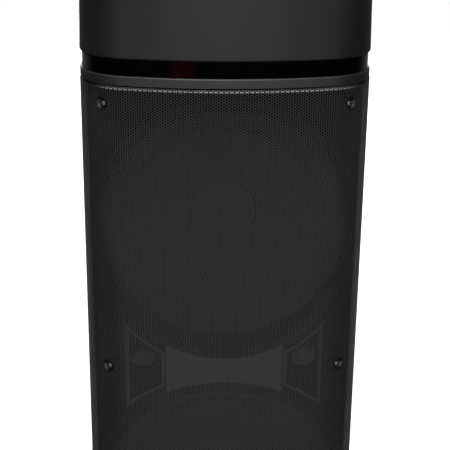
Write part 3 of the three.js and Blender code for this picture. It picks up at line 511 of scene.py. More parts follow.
@dataclass(frozen=True)
class FasciaFinish(Finish):
    """Dark skin with a lighter painted bridge between the two woofers."""

    axes: tuple[float, float] = (0.240, 0.590)
    ring: float = 0.159
    reach: float = 0.070
    bridge: tuple[float, float, float] = (0.075, 0.074, 0.069)

    def marked(self, web: Web, colour: bpy.types.NodeSocket) -> bpy.types.NodeSocket:
        """Lightens the bridge.

        Args:
            web: the material's web.
            colour: the plain colour.

        Returns:
            The colour with the bridge in it.
        """
        place = web.add("ShaderNodeSeparateXYZ")
        web.link(web.add("ShaderNodeTexCoord").outputs["Object"], place.inputs[0])
        across = web.math("ABSOLUTE", place.outputs["X"])
        mask = web.ramp(across, self.reach - 0.001, self.reach + 0.001, (1.0, 0.0))
        for z in self.axes:
            up = web.math("SUBTRACT", place.outputs["Z"], z)
            square = web.math("ADD", web.math("MULTIPLY", up, up), web.math("MULTIPLY", across, across))
            reach = web.math("SQRT", square)
            mask = web.math(
                "MULTIPLY", mask, web.ramp(reach, self.ring - 0.001, self.ring + 0.001, (0.0, 1.0))
            )
        below = web.ramp(place.outputs["Z"], self.axes[0], self.axes[0] + 0.02, (0.0, 1.0))
        above = web.ramp(place.outputs["Z"], self.axes[1] - 0.02, self.axes[1], (1.0, 0.0))
        return web.mix(web.math("MULTIPLY", mask, web.math("MULTIPLY", below, above)), colour, self.bridge)


@dataclass(frozen=True)
class RimmedFinish(Finish):
    """Black mouth with a lighter front rim."""

    depth: tuple[float, float] = (-0.148, -0.154)
    rim: tuple[float, float, float] = (0.06, 0.0595, 0.055)

    def marked(self, web: Web, colour: bpy.types.NodeSocket) -> bpy.types.NodeSocket:
        """Lightens the faces nearest the front.

        Args:
            web: the material's web.
            colour: the plain colour.

        Returns:
            The colour with its rim.
        """
        place = web.add("ShaderNodeSeparateXYZ")
        web.link(web.add("ShaderNodeTexCoord").outputs["Object"], place.inputs[0])
        facing = web.add("ShaderNodeSeparateXYZ")
        web.link(web.add("ShaderNodeNewGeometry").outputs["Normal"], facing.inputs[0])
        near = web.ramp(place.outputs["Y"], self.depth[1], self.depth[0], (1.0, 0.0))
        front = web.ramp(facing.outputs["Y"], -0.9, -0.6, (1.0, 0.0))
        return web.mix(web.math("MULTIPLY", near, front), colour, self.rim)


@dataclass(frozen=True)
class TurnedFinish(Finish):
    """Metal or paper with fine rings round a horizontal axis along Y, or an upright one."""

    axis: Point = (0.0, 0.0, 0.0)
    upright: bool = False
    rings: float = 900.0

    def height(self, web: Web, grain: bpy.types.NodeSocket) -> bpy.types.NodeSocket:
        """Fine rings added to the grain.

        Args:
            web: the material's web.
            grain: the plain relief.

        Returns:
            The relief with rings.
        """
        place = web.vector("SUBTRACT", web.add("ShaderNodeTexCoord").outputs["Object"], self.axis)
        flat = web.vector("MULTIPLY", place.outputs[0], (1.0, 1.0, 0.0) if self.upright else (1.0, 0.0, 1.0))
        reach = web.vector("LENGTH", flat.outputs[0]).outputs["Value"]
        wave = web.math("SINE", web.math("MULTIPLY", reach, self.rings * 2 * math.pi))
        return web.math("ADD", grain, web.math("MULTIPLY", wave, 0.35))


CAP_PLASTIC = Finish(
    "cap_plastic", (0.009, 0.0092, 0.0097), 0.52, tone=0.08, grain=1100.0, wear=0.0, dust=0.02
)
RING_PLASTIC = Finish(
    "ring_plastic", (0.0105, 0.0107, 0.011), 0.5, specular=0.75, tone=0.08, grain=1300.0, wear=0.0,
    dust=0.02
)
PLINTH_PLASTIC = Finish(
    "plinth_plastic", (0.014, 0.0143, 0.015), 0.55, tone=0.08, grain=900.0, wear=0.0, dust=0.02
)
CABINET_VINYL = Finish(
    "cabinet_vinyl", (0.016, 0.0163, 0.0172), 0.48, tone=0.1, grain=420.0, pits=1.3, relief=0.00012,
    wear=0.0, dust=0.02
)
BAFFLE_PLASTIC = FasciaFinish(
    "baffle_plastic", (0.006, 0.006, 0.0059), 0.7, tone=0.1, grain=900.0, wear=0.0, dust=0.0,
    specular=0.15
)
HORN_PLASTIC = RimmedFinish(
    "horn_plastic", (0.004, 0.004, 0.0043), 0.6, grain=1200.0, wear=0.0, dust=0.0, specular=0.15
)
BAND_GLOSS = WindowedGloss(
    "band_gloss", (0.0006, 0.0006, 0.0007), 0.075, tone=0.1, grain=60.0, pits=0.0, relief=0.000002,
    wear=0.0, dust=0.0
)
PANEL_GLOSS = Finish(
    "panel_gloss", (0.004, 0.004, 0.0045), 0.12, tone=0.04, grain=900.0, pits=0.0, relief=0.000002,
    wear=0.0, dust=0.004
)
GRILLE_COAT = PerforatedFinish(
    "grille_coat", (0.017, 0.0171, 0.0174), 0.41, specular=1.0, tone=0.06, grain=700.0, pits=0.3,
    relief=0.00002, wear=0.0, dust=0.0
)
STEEL_COAT = Finish(
    "steel_coat", (0.022, 0.022, 0.0224), 0.6, grain=600.0, pits=0.2, wear=0.0, dust=0.0, specular=0.2
)
SCREW_STEEL = Finish(
    "screw_steel", (0.22, 0.22, 0.225), 0.13, metallic=1.0, grain=1800.0, relief=0.00001, wear=0.0, dust=0.0
)
# Near-black liner laid in each screw dimple: painted shade for the dimple's hollow.
DIMPLE_SHADE_LINER = Finish("cup_black", (0.004, 0.004, 0.0042), 0.4, grain=1500.0, relief=0.00001, wear=0.0, dust=0.0)
NICKEL = Finish(
    "nickel", (0.55, 0.54, 0.51), 0.22, metallic=1.0, grain=1500.0, relief=0.000006, wear=0.0,
    dust=0.05
)
CONE_PAPER = TurnedFinish(
    "cone_paper", (0.003, 0.003, 0.0031), 0.9, tone=0.3, wear=0.0, dust=0.0, specular=0.02,
    grain=500.0, pits=0.8, relief=0.0001, rings=260.0
)
SURROUND_RUBBER = Finish(
    "surround_rubber", (0.03, 0.03, 0.0306), 0.7, grain=1000.0, wear=0.0, dust=0.0, specular=0.15
)
DIFFUSER = Finish(
    "ring_diffuser", (0.014, 0.0141, 0.0146), 0.6, specular=0.1, grain=1400.0, relief=0.00001,
    wear=0.0, dust=0.0
)
KNOB_PLASTIC = Finish("knob_plastic", (0.022, 0.022, 0.024), 0.42, grain=1500.0, relief=0.00002, wear=0.5)
PRINT_WHITE = Finish("print_white", (0.62, 0.62, 0.60), 0.6, grain=1500.0, wear=0.0, dust=0.0)
BUTTON_SILICONE = Finish("button_silicone", (0.028, 0.028, 0.030), 0.68, grain=1500.0, wear=0.3, sheen=0.1)
COVER_RUBBER = Finish(
    "cover_rubber", (0.018, 0.018, 0.0187), 0.62, tone=0.06, grain=1300.0, wear=0.0, dust=0.01
)
ROCKER_GLOSS = Finish(
    "rocker_gloss", (0.006, 0.006, 0.0065), 0.22, tone=0.1, grain=900.0, relief=0.000004, wear=0.0
)
GRIP_RUBBER = Finish(
    "grip_rubber", (0.015, 0.015, 0.016), 0.72, grain=700.0, pits=0.9, relief=0.0001, wear=0.3
)
REAR_PLASTIC = Finish(
    "rear_plastic", (0.022, 0.022, 0.0232), 0.5, tone=0.06, grain=900.0, wear=0.0, dust=0.02
)
FOOT_RUBBER = Finish(
    "foot_rubber", (0.012, 0.012, 0.012), 0.8, grain=600.0, pits=0.9, relief=0.0001, dust=0.3
)
TREAD_RUBBER = Finish(
    "tread_rubber", (0.020, 0.020, 0.020), 0.75, grain=500.0, pits=0.9, relief=0.00012, dust=0.35
)
HUB_PLASTIC = Finish("hub_plastic", (0.055, 0.055, 0.057), 0.5, grain=1000.0, wear=0.4)
FERRITE = Finish("ferrite", (0.045, 0.043, 0.042), 0.6, metallic=0.2, tone=0.4, grain=400.0, relief=0.0001)
BOARD_MASK = Finish("board_mask", (0.012, 0.07, 0.03), 0.35, tone=0.3, tone_scale=40.0, coat=0.3, wear=0.0)
CELL_WRAP = Finish("cell_wrap", (0.02, 0.045, 0.13), 0.3, tone=0.2, coat=0.4, wear=0.1)
SEAL_FOAM = Finish("seal_foam", (0.02, 0.02, 0.02), 0.9, grain=1500.0, pits=1.4, relief=0.0003, wear=0.0)
FLOOR_PAPER = Finish(
    "floor_paper", (0.86, 0.86, 0.86), 0.7, tone=0.01, grain=300.0, relief=0.00002, wear=0.0, dust=0.0
)


# ---- Shared mesh work ---------------------------------------------------------------------------------


def mesh_piece(
    name: str, points: Iterable[Point], faces: Iterable[Sequence[int]], finish: Finish
) -> bpy.types.Object:
    """Makes a mesh object with one material and smooth shading broken at sharp edges.

    Args:
        name: the piece's name.
        points: the vertices in metres.
        faces: the faces, facing out.
        finish: its finish.

    Returns:
        The new object.
    """
    mesh = bpy.data.meshes.new(name)
    mesh.from_pydata([tuple(p) for p in points], [], [tuple(f) for f in faces])
    mesh.validate()
    mesh.materials.append(finish.material())
    piece = bpy.data.objects.new(name, mesh)
    bpy.context.scene.collection.objects.link(piece)
    soften(piece)
    return piece


def soften(piece: bpy.types.Object, degrees: float = 32.0) -> None:
    """Shades a piece smooth, with edges sharper than an angle kept crisp."""
    piece.data.shade_smooth()
    piece.data.set_sharp_from_angle(angle=math.radians(degrees))


def level(piece: bpy.types.Object) -> None:
    """Shades a piece's large flat faces level right up to the rounded edges beside them."""
    modifier = piece.modifiers.new("level", "WEIGHTED_NORMAL")
    modifier.keep_sharp = True
    modifier.weight = 100
    bpy.context.view_layer.update()
    settle(piece)


def settle(piece: bpy.types.Object) -> None:
    """Turns a piece's modifiers into plain mesh."""
    graph = bpy.context.evaluated_depsgraph_get()
    made = bpy.data.meshes.new_from_object(piece.evaluated_get(graph))
    made.name = piece.name
    old = piece.data
    piece.modifiers.clear()
    piece.data = made
    bpy.data.meshes.remove(old)


def cut(piece: bpy.types.Object, cutters: Sequence[bpy.types.Object]) -> None:
    """Cuts closed shapes out of a piece and removes them.

    Args:
        piece: the piece that is cut.
        cutters: the closed shapes taken away.
    """
    for cutter in cutters:
        modifier = piece.modifiers.new("cut", "BOOLEAN")
        modifier.object = cutter
        modifier.operation = "DIFFERENCE"
        modifier.solver = "EXACT"
    bpy.context.view_layer.update()
    settle(piece)
    for cutter in cutters:
        bpy.data.objects.remove(cutter)


def join(piece: bpy.types.Object, others: Sequence[bpy.types.Object]) -> None:
    """Welds closed shapes to a piece as one body and removes them.

    Args:
        piece: the piece that grows.
        others: the closed shapes welded to it.
    """
    for other in others:
        modifier = piece.modifiers.new("weld", "BOOLEAN")
        modifier.object = other
        modifier.operation = "UNION"
        modifier.solver = "EXACT"
    bpy.context.view_layer.update()
    settle(piece)
    for other in others:
        bpy.data.objects.remove(other)


def bevel(piece: bpy.types.Object, width: float, segments: int = 2, degrees: float = 40.0) -> None:
    """Rounds a piece's sharp edges.

    Args:
        piece: the piece.
        width: how wide the rounding is, in metres.
        segments: how many steps it has.
        degrees: the angle that counts as sharp.
    """
    modifier = piece.modifiers.new("round", "BEVEL")
    modifier.width = width
    modifier.segments = segments
    modifier.limit_method = "ANGLE"
    modifier.angle_limit = math.radians(degrees)
    modifier.harden_normals = False
    bpy.context.view_layer.update()
    settle(piece)
    soften(piece)
    level(piece)


def block(name: str, low: Point, high: Point, finish: Finish, edge: float = 0.0005) -> bpy.types.Object:
    """Makes a box with rounded edges.

    Args:
        name: the piece's name.
        low: its lowest corner.
        high: its highest corner.
        finish: its finish.
        edge: the rounding of its edges in metres, or 0 for none.

    Returns:
        The new object.
    """
    points = [(x, y, z) for z in (low[2], high[2]) for y in (low[1], high[1]) for x in (low[0], high[0])]
    faces = [(0, 2, 3, 1), (4, 5, 7, 6), (0, 1, 5, 4), (2, 6, 7, 3), (0, 4, 6, 2), (1, 3, 7, 5)]
    piece = mesh_piece(name, points, faces, finish)
    if edge > 0.0:
        bevel(piece, edge)
    return piece


def rounded_outline(width: float, height: float, radius: float, steps: int = 8) -> list[tuple[float, float]]:
    """The outline of a rectangle with rounded corners, anticlockwise about its middle."""
    points = []
    for k, (sx, sy) in enumerate(((1, 1), (-1, 1), (-1, -1), (1, -1))):
        for i in range(steps + 1):
            turn = math.pi / 2 * (k + i / steps)
            x = sx * (width / 2 - radius) + radius * math.cos(turn)
            points.append((x, sy * (height / 2 - radius) + radius * math.sin(turn)))
    return points


def prism(
    name: str, outline: Sequence[tuple[float, float]], low: float, high: float, finish: Finish, place: Matrix
) -> bpy.types.Object:
    """Pulls an outline up from low to high in its own frame and places it.

    Args:
        name: the piece's name.
        outline: points anticlockwise in the XY plane.
        low: the lower end.
        high: the upper end.
        finish: its finish.
        place: the matrix from its own frame to the speaker's.

    Returns:
        The new object.
    """
    n = len(outline)
    points = [place @ Vector((x, y, z)) for z in (low, high) for x, y in outline]
    faces = [list(range(n))[::-1], list(range(n, 2 * n))]
    faces += [(i, (i + 1) % n, n + (i + 1) % n, n + i) for i in range(n)]
    return mesh_piece(name, points, faces, finish)


def turned(
    name: str,
    profile: Section,
    steps: int,
    place: Matrix,
    finish: Finish,
    ripple: Callable[[int, float], float] = lambda k, turn: 1.0,
) -> bpy.types.Object:
    """Turns a profile of radius and height about its own Z axis.

    Args:
        name: the piece's name.
        profile: points anticlockwise in the radius-height plane, closed on itself or ending on the axis.
        steps: how many sides the turning has.
        place: the matrix from its own frame to the speaker's.
        finish: its finish.
        ripple: a factor on the radius for a profile point and an angle.

    Returns:
        The new object.
    """
    points: list[Vector] = []
    rows: list[list[int]] = []
    for k, (radius, height) in enumerate(profile):
        if radius < 1e-7:
            rows.append([len(points)] * steps)
            points.append(place @ Vector((0.0, 0.0, height)))
            continue
        row = []
        for i in range(steps):
            turn = 2 * math.pi * i / steps
            reach = radius * ripple(k, turn)
            row.append(len(points))
            points.append(place @ Vector((reach * math.cos(turn), reach * math.sin(turn), height)))
        rows.append(row)
    closed = profile[0][0] >= 1e-7 and profile[-1][0] >= 1e-7
    faces = []
    for k in range(len(rows) if closed else len(rows) - 1):
        a, b = rows[k], rows[(k + 1) % len(rows)]
        for i in range(steps):
            j = (i + 1) % steps
            face = [a[i], a[j], b[j], b[i]]
            trimmed = [v for n, v in enumerate(face) if v != face[n - 1]]
            if len(trimmed) > 2:
                faces.append(trimmed)
    return mesh_piece(name, points, faces, finish)


def fillet(cx: float, cz: float, radius: float, start: float, end: float, steps: int = 6) -> Section:
    """Points along an arc in a section, from one angle in degrees to another."""
    span = [math.radians(start + (end - start) * i / steps) for i in range(steps + 1)]
    return [(cx + radius * math.cos(a), cz + radius * math.sin(a)) for a in span]


def forward(x: float, y: float, z: float) -> Matrix:
    """A frame at a point whose own Z looks out of the front."""
    return Matrix.Translation((x, y, z)) @ Matrix.Rotation(math.pi / 2, 4, "X")


def backward(x: float, y: float, z: float) -> Matrix:
    """A frame at a point whose own Z looks out of the back."""
    return Matrix.Translation((x, y, z)) @ Matrix.Rotation(-math.pi / 2, 4, "X")


def upward(x: float, y: float, z: float) -> Matrix:
    """A frame at a point with its own Z up."""
    return Matrix.Translation((x, y, z))


def mark_bar(name: str, place: Matrix, height: float) -> bpy.types.Object:
    """Makes a short printed bar on the upper half of a rocker.

    Args:
        name: the piece's name.
        place: the rocker's own frame.
        height: how far above its middle the bar is.

    Returns:
        The new object.
    """
    lean = place @ Matrix.Translation((0.0, 0.00125, height)) @ Matrix.Rotation(-math.pi / 2 - 0.18, 4, "X")
    return prism(name, rounded_outline(0.0006, 0.0036, 0.0002, 2), 0.0, 0.00012, PRINT_WHITE, lean)


def fit(piece: bpy.types.Object, slot: str, *nodes: str, body: str = ROOT) -> None:
    """Puts a piece on a body in place of CAD nodes.

    Args:
        piece: the piece.
        slot: the record's material slot; not used.
        nodes: the CAD nodes that it stands for.
        body: the body that it rides on.
    """
    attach(piece, body)
    if nodes:
        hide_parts(*nodes)
    LOG.info("piece %s on %s for %s", piece.name, body, ", ".join(nodes) or "nothing")


def dress(frame: dict, finish: Finish, *nodes: str) -> None:
    """Gives CAD nodes that stay in view a finish.

    Args:
        finish: the finish.
        nodes: the nodes.
    """
    for node in nodes:
        mesh = frame["nodes"][node].data
        mesh.materials.clear()
        mesh.materials.append(finish.material())
        mesh.shade_smooth()
        mesh.set_sharp_from_angle(angle=math.radians(35.0))
        LOG.info("node %s dressed in %s", node, finish.name)


@dataclass(frozen=True)
class Plan:
    """The D-shaped plan shared by every layer of the stack, in metres."""

    half: float
    front: float
    back: float
    bow: float = 0.470
    corner: float = 0.064
    rear: float = 0.026
    bow_steps: int = 60
    corner_steps: int = 26
    rear_steps: int = 12

    @property
    def corner_x(self) -> float:
        """The side position of a front corner's centre."""
        return self.half - self.corner

    @property
    def corner_y(self) -> float:
        """The depth of a front corner's centre."""
        return self.front + self.bow - math.sqrt((self.bow - self.corner) ** 2 - self.corner_x**2)

    @property
    def swing(self) -> float:
        """Half the angle of the bow."""
        return math.atan2(self.corner_x, self.front + self.bow - self.corner_y)

    def skin_y(self, x: float, inset: float) -> float:
        """How far forward the front skin is at a side position.

        Args:
            x: the side position.
            inset: how far the skin is drawn in from the outline.

        Returns:
            Its Y.
        """
        reach = abs(x)
        bow = self.bow - inset
        if reach <= bow * math.sin(self.swing):
            return self.front + self.bow - math.sqrt(bow**2 - reach**2)
        corner = self.corner - inset
        across = min(reach - self.corner_x, corner * 0.9999)
        return self.corner_y - math.sqrt(corner**2 - across**2)

    def front_half(self, inset: float) -> list[tuple[float, float]]:
        """The front of the outline, from the left side round to the right."""
        corner = self.corner - inset
        bow = self.bow - inset
        points = []
        for i in range(self.corner_steps):
            turn = math.pi + (math.pi / 2 - self.swing) * i / self.corner_steps
            points.append((-self.corner_x + corner * math.cos(turn), self.corner_y + corner * math.sin(turn)))
        for i in range(self.bow_steps):
            turn = -math.pi / 2 + self.swing * (2 * i / self.bow_steps - 1)
            points.append((bow * math.cos(turn), self.front + self.bow + bow * math.sin(turn)))
        for i in range(self.corner_steps + 1):
            turn = -math.pi / 2 + self.swing + (math.pi / 2 - self.swing) * i / self.corner_steps
            points.append((self.corner_x + corner * math.cos(turn), self.corner_y + corner * math.sin(turn)))
        return points

    def rear_half(self, inset: float) -> list[tuple[float, float]]:
        """The back of the outline, from the right side round to the left."""
        rear = max(self.rear - inset, 0.001)
        x = self.half - inset - rear
        y = self.back - inset - rear
        points = []
        for side, start in ((1, 0.0), (-1, math.pi / 2)):
            for i in range(self.rear_steps + 1):
                turn = start + math.pi / 2 * i / self.rear_steps
                points.append((side * x + rear * math.cos(turn), y + rear * math.sin(turn)))
        return points

    def outline(self, inset: float) -> list[tuple[float, float]]:
        """The whole outline, anticlockwise from above."""
        return self.front_half(inset) + self.rear_half(inset)

    def swept(self, name: str, section: Section, finish: Finish, closed: bool = True) -> bpy.types.Object:
        """Sweeps a section of inset and height round the outline.

        Args:
            name: the piece's name.
            section: points going up the outside and down the inside.
            finish: its finish.
            closed: whether the section joins up; if not, its two ends are covered with flat faces.

        Returns:
            The new object.
        """
        loops = [[(x, y, z) for x, y in self.outline(inset)] for inset, z in section]
        n = len(loops[0])
        points = [p for loop in loops for p in loop]
        faces = []
        for k in range(len(loops) if closed else len(loops) - 1):
            a, b = k * n, ((k + 1) % len(loops)) * n
            faces += [(a + i, a + (i + 1) % n, b + (i + 1) % n, b + i) for i in range(n)]
        if not closed:
            faces.append(list(range(n))[::-1])
            faces.append(list(range((len(loops) - 1) * n, len(loops) * n)))
        return mesh_piece(name, points, faces, finish)


# ---- Housing: cap, band, ring and cabinet -------------------------------------------------------------


@dataclass
class Housing:
    """The moulded stack round the speaker: top cap, display band, trim ring and cabinet walls."""

    plan: Plan
    frame: dict
    top_round: float = 0.009
    foot_round: float = 0.0032
    draft: float = 0.002
    wall: float = 0.0035
    pocket_floor: float = 0.042
    pieces: list[bpy.types.Object] = field(default_factory=list)

    def cap(self) -> None:
        """Builds the cap with its panel opening, device slot and grip pocket."""
        low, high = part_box("top_cap")
        z0, z1 = low.z, high.z
        top = self.top_round
        foot = self.foot_round

        def lean(z: float) -> float:
            """How far the wall leans in at a height."""
            return self.draft * (z - z0) / (z1 - z0)

        inner = self.wall + self.draft
        section: Section = [(inner, z1 - 0.052), (inner, z0), (foot, z0)]
        section += [(-r, z) for r, z in fillet(-foot, z0 + foot, foot, -90, 0)][1:]
        steps = 10
        rise = [z0 + foot + (z1 - top - z0 - foot) * i / steps for i in range(1, steps + 1)]
        section += [(lean(z), z) for z in rise]
        centre = lean(z1 - top) + top
        section += [(-r, z) for r, z in fillet(-centre, z1 - top, top, 0, 90, 8)][1:]
        cap = self.plan.swept("cap_shell", section, CAP_PLASTIC, closed=False)
        panel_low, panel_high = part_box("control_panel")
        middle = (panel_low + panel_high) / 2
        size = panel_high - panel_low
        opening = prism(
            "panel_opening",
            rounded_outline(size.x + 0.0008, size.y + 0.0008, 0.0123),
            z1 - 0.0036,
            z1 + 0.01,
            CAP_PLASTIC,
            upward(middle.x, middle.y, 0.0),
        )
        board_low, board_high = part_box("control_board")
        well = prism(
            "board_well",
            rounded_outline(size.x - 0.014, size.y - 0.014, 0.008),
            board_low.z - 0.002,
            z1 + 0.01,
            CAP_PLASTIC,
            upward(middle.x, middle.y, 0.0),
        )
        slot = prism(
            "slot_cutter",
            rounded_outline(0.236, 0.015, 0.003),
            z1 - 0.014,
            z1 + 0.01,
            CAP_PLASTIC,
            upward(0.0, -0.034, 0.0),
        )
        pocket = prism(
            "pocket_cutter",
            rounded_outline(0.190, 0.20, 0.012),
            z1 - self.pocket_floor,
            z1 + 0.02,
            CAP_PLASTIC,
            upward(0.0, 0.096 + 0.10, 0.0),
        )
        cut(cap, [opening, well, slot, pocket])
        bevel(cap, 0.0009, 2, 48.0)
        fit(cap, "moulding", "top_cap")
        self.pieces.append(cap)

    def band(self) -> None:
        """Builds the display band, with a lip that seats behind cap and ring."""
        low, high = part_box("display_band")
        section: Section = [
            (0.0060, low.z),
            (0.0031, low.z),
            (0.0025, low.z + 0.0006),
            (0.0025, high.z - 0.0006),
            (0.0031, high.z),
            (0.0060, high.z),
        ]
        band = self.plan.swept("display_band_lens", section, BAND_GLOSS)
        level(band)
        fit(band, "gloss_band", "display_band")
        dress(self.frame, DIFFUSER, "light_bar")

    def ring(self) -> None:
        """Builds the trim ring with softened edges."""
        low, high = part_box("trim_ring")
        r = 0.0014
        section: Section = [(0.016, low.z), (r, low.z)]
        section += [(-x, z) for x, z in fillet(-r, low.z + r, r, -90, 0, 4)][1:]
        section += [(-x, z) for x, z in fillet(-r, high.z - r, r, 0, 90, 4)]
        section += [(0.016, high.z)]
        ring = self.plan.swept("trim_ring_moulding", section, RING_PLASTIC)
        level(ring)
        fit(ring, "ring", "trim_ring")

    def cabinet(self) -> None:
        """Builds the cabinet's side and rear walls with panel and port openings."""
        low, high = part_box("cabinet_shell")
        wall = 0.009
        front = low.y
        outer = self.open_outline(0.0, front)
        inner = self.open_outline(wall, front)
        n = len(outer)
        loop = outer + inner[::-1]
        m = len(loop)
        heights = (low.z, high.z)
        points = [(x, y, z) for z in heights for x, y in loop]
        faces: list[Sequence[int]] = [(i, (i + 1) % m, m + (i + 1) % m, m + i) for i in range(m)]
        for base, order in ((0, -1), (m, 1)):
            for i in range(n - 1):
                face = (base + i, base + i + 1, base + m - 2 - i, base + m - 1 - i)
                faces.append(face[::order])
        shell = mesh_piece("cabinet_walls", points, faces, CABINET_VINYL)
        panel_low, panel_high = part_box("rear_panel")
        panel_middle = (panel_low + panel_high) / 2
        size = panel_high - panel_low
        rebate = prism(
            "panel_rebate",
            rounded_outline(size.x + 0.0008, size.z + 0.0008, 0.0084),
            -0.02,
            0.02,
            CABINET_VINYL,
            backward(panel_middle.x, high.y, panel_middle.z),
        )
        port_low, port_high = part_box("bass_port")
        hole = turned(
            "port_hole",
            [(0.0, -0.03), (0.0526, -0.03), (0.0526, 0.03), (0.0, 0.03)],
            64,
            backward(0.0, high.y, (port_low.z + port_high.z) / 2),
            CABINET_VINYL,
        )
        cut(shell, [rebate, hole])
        bevel(shell, 0.0008, 2, 50.0)
        fit(shell, "cabinet", "cabinet_shell")
        for name, z0, z1 in (("lower", low.z, low.z + wall), ("upper", high.z - wall, high.z)):
            self.deck(name, z0 + 0.0003, z1 - 0.0003, wall + 0.0003, front)

    def open_outline(self, inset: float, front: float) -> list[tuple[float, float]]:
        """The rear part of the outline with straight legs reaching forward to a depth."""
        half = self.plan.half - inset
        return [(half, front), *self.plan.rear_half(inset), (-half, front)]

    def deck(self, name: str, z0: float, z1: float, inset: float, front: float) -> None:
        """Builds an end wall of the cabinet.

        Args:
            name: which end.
            z0: its lower face.
            z1: its upper face.
            inset: how far it is drawn in from the outline.
            front: its front edge.
        """
        outline = self.open_outline(inset, front)
        deck = prism(f"cabinet_deck_{name}", outline, z0, z1, CABINET_VINYL, Matrix.Identity(4))
        fit(deck, "cabinet")

    def build(self) -> None:
        """Builds every piece of the housing."""
        self.cap()
        self.band()
        self.ring()
        self.cabinet()


# ---- Front: perforated sheet, screws and baffle -------------------------------------------------------


@dataclass
class GrilleSheet:
    """The bent, perforated steel sheet and its screws in stamped dimples."""

    UV_METRES = 0.712
    UV_START = 0.0085

    plan: Plan
    frame: dict
    inset: float = 0.003
    sheet: float = 0.0012
    bend: float = 0.0022
    flange: float = 0.0065
    dimple: float = 0.0086
    dimple_floor: float = 0.0040
    dimple_depth: float = 0.0034
    screw_x: float = 0.140

    def screws(self) -> list[tuple[str, float, float]]:
        """The name, side and height of every grille screw."""
        places = []
        for row in ("upper", "middle", "lower"):
            for label, side in (("left", -1.0), ("right", 1.0)):
                name = f"grille_screw_{row}_{label}"
                low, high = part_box(name)
                places.append((name, side, (low.z + high.z) / 2))
        return places

    def swing(self) -> float:
        """The angle that a screw's axis makes with straight ahead."""
        return math.asin((self.screw_x - self.plan.corner_x) / (self.plan.corner - self.inset))

    def columns(self, leg: float) -> list[tuple[float, float, float, float, float]]:
        """The sheet's plan as points with outward normals and the flattened distance.

        Args:
            leg: how far back the ends of the sheet reach.

        Returns:
            Rows of x, y, normal x, normal y and flattened distance from the middle, left to right.
        """
        corner = self.plan.corner - self.inset
        bow = self.plan.bow - self.inset
        swing = self.plan.swing
        arc = bow * swing
        turn_span = math.acos((self.plan.corner_y - leg) / corner) - swing
        marks = {round(i * arc / 30, 6) for i in range(31)}
        marks |= {round(arc + corner * turn_span * i / 44, 6) for i in range(45)}
        rows = []
        for s in sorted({-m for m in marks} | marks):
            side, a = (-1.0 if s < 0 else 1.0), abs(s)
            if a <= arc:
                turn = a / bow
                x = bow * math.sin(turn)
                y = self.plan.front + self.plan.bow - bow * math.cos(turn)
            else:
                turn = swing + (a - arc) / corner
                x = self.plan.corner_x + corner * math.sin(turn)
                y = self.plan.corner_y - corner * math.cos(turn)
            rows.append((side * x, y, side * math.sin(turn), -math.cos(turn), s))
        return rows

    def rows(self, z0: float, z1: float) -> list[tuple[float, float, float, float]]:
        """The sheet's upright profile: inward reach, height, how much the face looks up, flattened distance.

        Args:
            z0: the lowest point of the sheet.
            z1: the highest point.

        Returns:
            Points from the tip of the lower flange round the face to the tip of the upper one.
        """
        r = self.bend
        heights = {round(z0 + r + (z1 - z0 - 2 * r) * i / 60, 6) for i in range(61)}
        for _, _, z in self.screws():
            heights |= {round(z + 0.0009 * i, 6) for i in range(-9, 10)}
        face = [(0.0, z, 0.0, z - z0 - r) for z in sorted(heights)]
        turn = [math.pi / 2 * i / 6 for i in range(1, 7)]
        span = face[-1][3]
        upper = [(r - r * math.cos(a), z1 - r + r * math.sin(a), math.sin(a), span + r * a) for a in turn]
        lower = [(r - r * math.cos(a), z0 + r - r * math.sin(a), -math.sin(a), -r * a) for a in turn]
        tip = self.flange - r
        upper += [(self.flange, z1, 1.0, span + r * math.pi / 2 + tip)]
        lower += [(self.flange, z0, -1.0, -r * math.pi / 2 - tip)]
        return lower[::-1] + face + upper

    def stamp(self, x: float, y: float, z: float) -> float:
        """How far the sheet is pressed in at a point of its face.

        Args:
            x: side position.
            y: depth.
            z: height.

        Returns:
            The depth of the dimple there, in metres.
        """
        swing = self.swing()
        radius = self.plan.corner - self.inset
        for _, side, height in self.screws_cache:
            cx = side * (self.plan.corner_x + radius * math.sin(swing))
            cy = self.plan.corner_y - radius * math.cos(swing)
            away = math.dist((x, y, z), (cx, cy, height))
            if away < self.dimple:
                share = min((self.dimple - away) / (self.dimple - self.dimple_floor), 1.0)
                return self.dimple_depth * share * share * (3 - 2 * share)
        return 0.0

    def build_sheet(self) -> None:
        """Builds the two faces of the sheet, its dimples and its flattened coordinates."""
        low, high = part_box("grille")
        self.screws_cache = self.screws()
        columns = self.columns(high.y)
        rows = self.rows(low.z, high.z)
        nx, nz = len(columns), len(rows)
        points: list[Point] = []
        flat: list[tuple[float, float]] = []
        for layer in (0.0, self.sheet):
            for reach, z, up, t in rows:
                for x, y, ax, ay, s in columns:
                    press = self.stamp(x, y, z) if reach == 0.0 else 0.0
                    inward = reach + press + layer * (1.0 - abs(up))
                    lift = -layer * up
                    points.append((x - ax * inward, y - ay * inward, z + lift))
                    flat.append((0.5 + s / self.UV_METRES, (t + self.UV_START) / self.UV_METRES))
        faces = []
        for k in range(nz - 1):
            for i in range(nx - 1):
                a = k * nx + i
                faces.append((a, a + 1, a + nx + 1, a + nx))
                b = a + nx * nz
                faces.append((b, b + nx, b + nx + 1, b + 1))
        size = nx * nz
        rim = list(range(nx))
        rim += [k * nx + nx - 1 for k in range(1, nz)]
        rim += [(nz - 1) * nx + i for i in range(nx - 2, -1, -1)]
        rim += [k * nx for k in range(nz - 2, 0, -1)]
        for a, b in zip(rim, rim[1:] + rim[:1]):
            faces.append((b, a, a + size, b + size))
        sheet = mesh_piece("grille_sheet", points, faces, GRILLE_COAT)
        layer = sheet.data.uv_layers.new(name="OFBake")
        for loop in sheet.data.loops:
            layer.data[loop.index].uv = flat[loop.vertex_index]
        soften(sheet, 60.0)
        fit(sheet, "grille_steel", "grille")

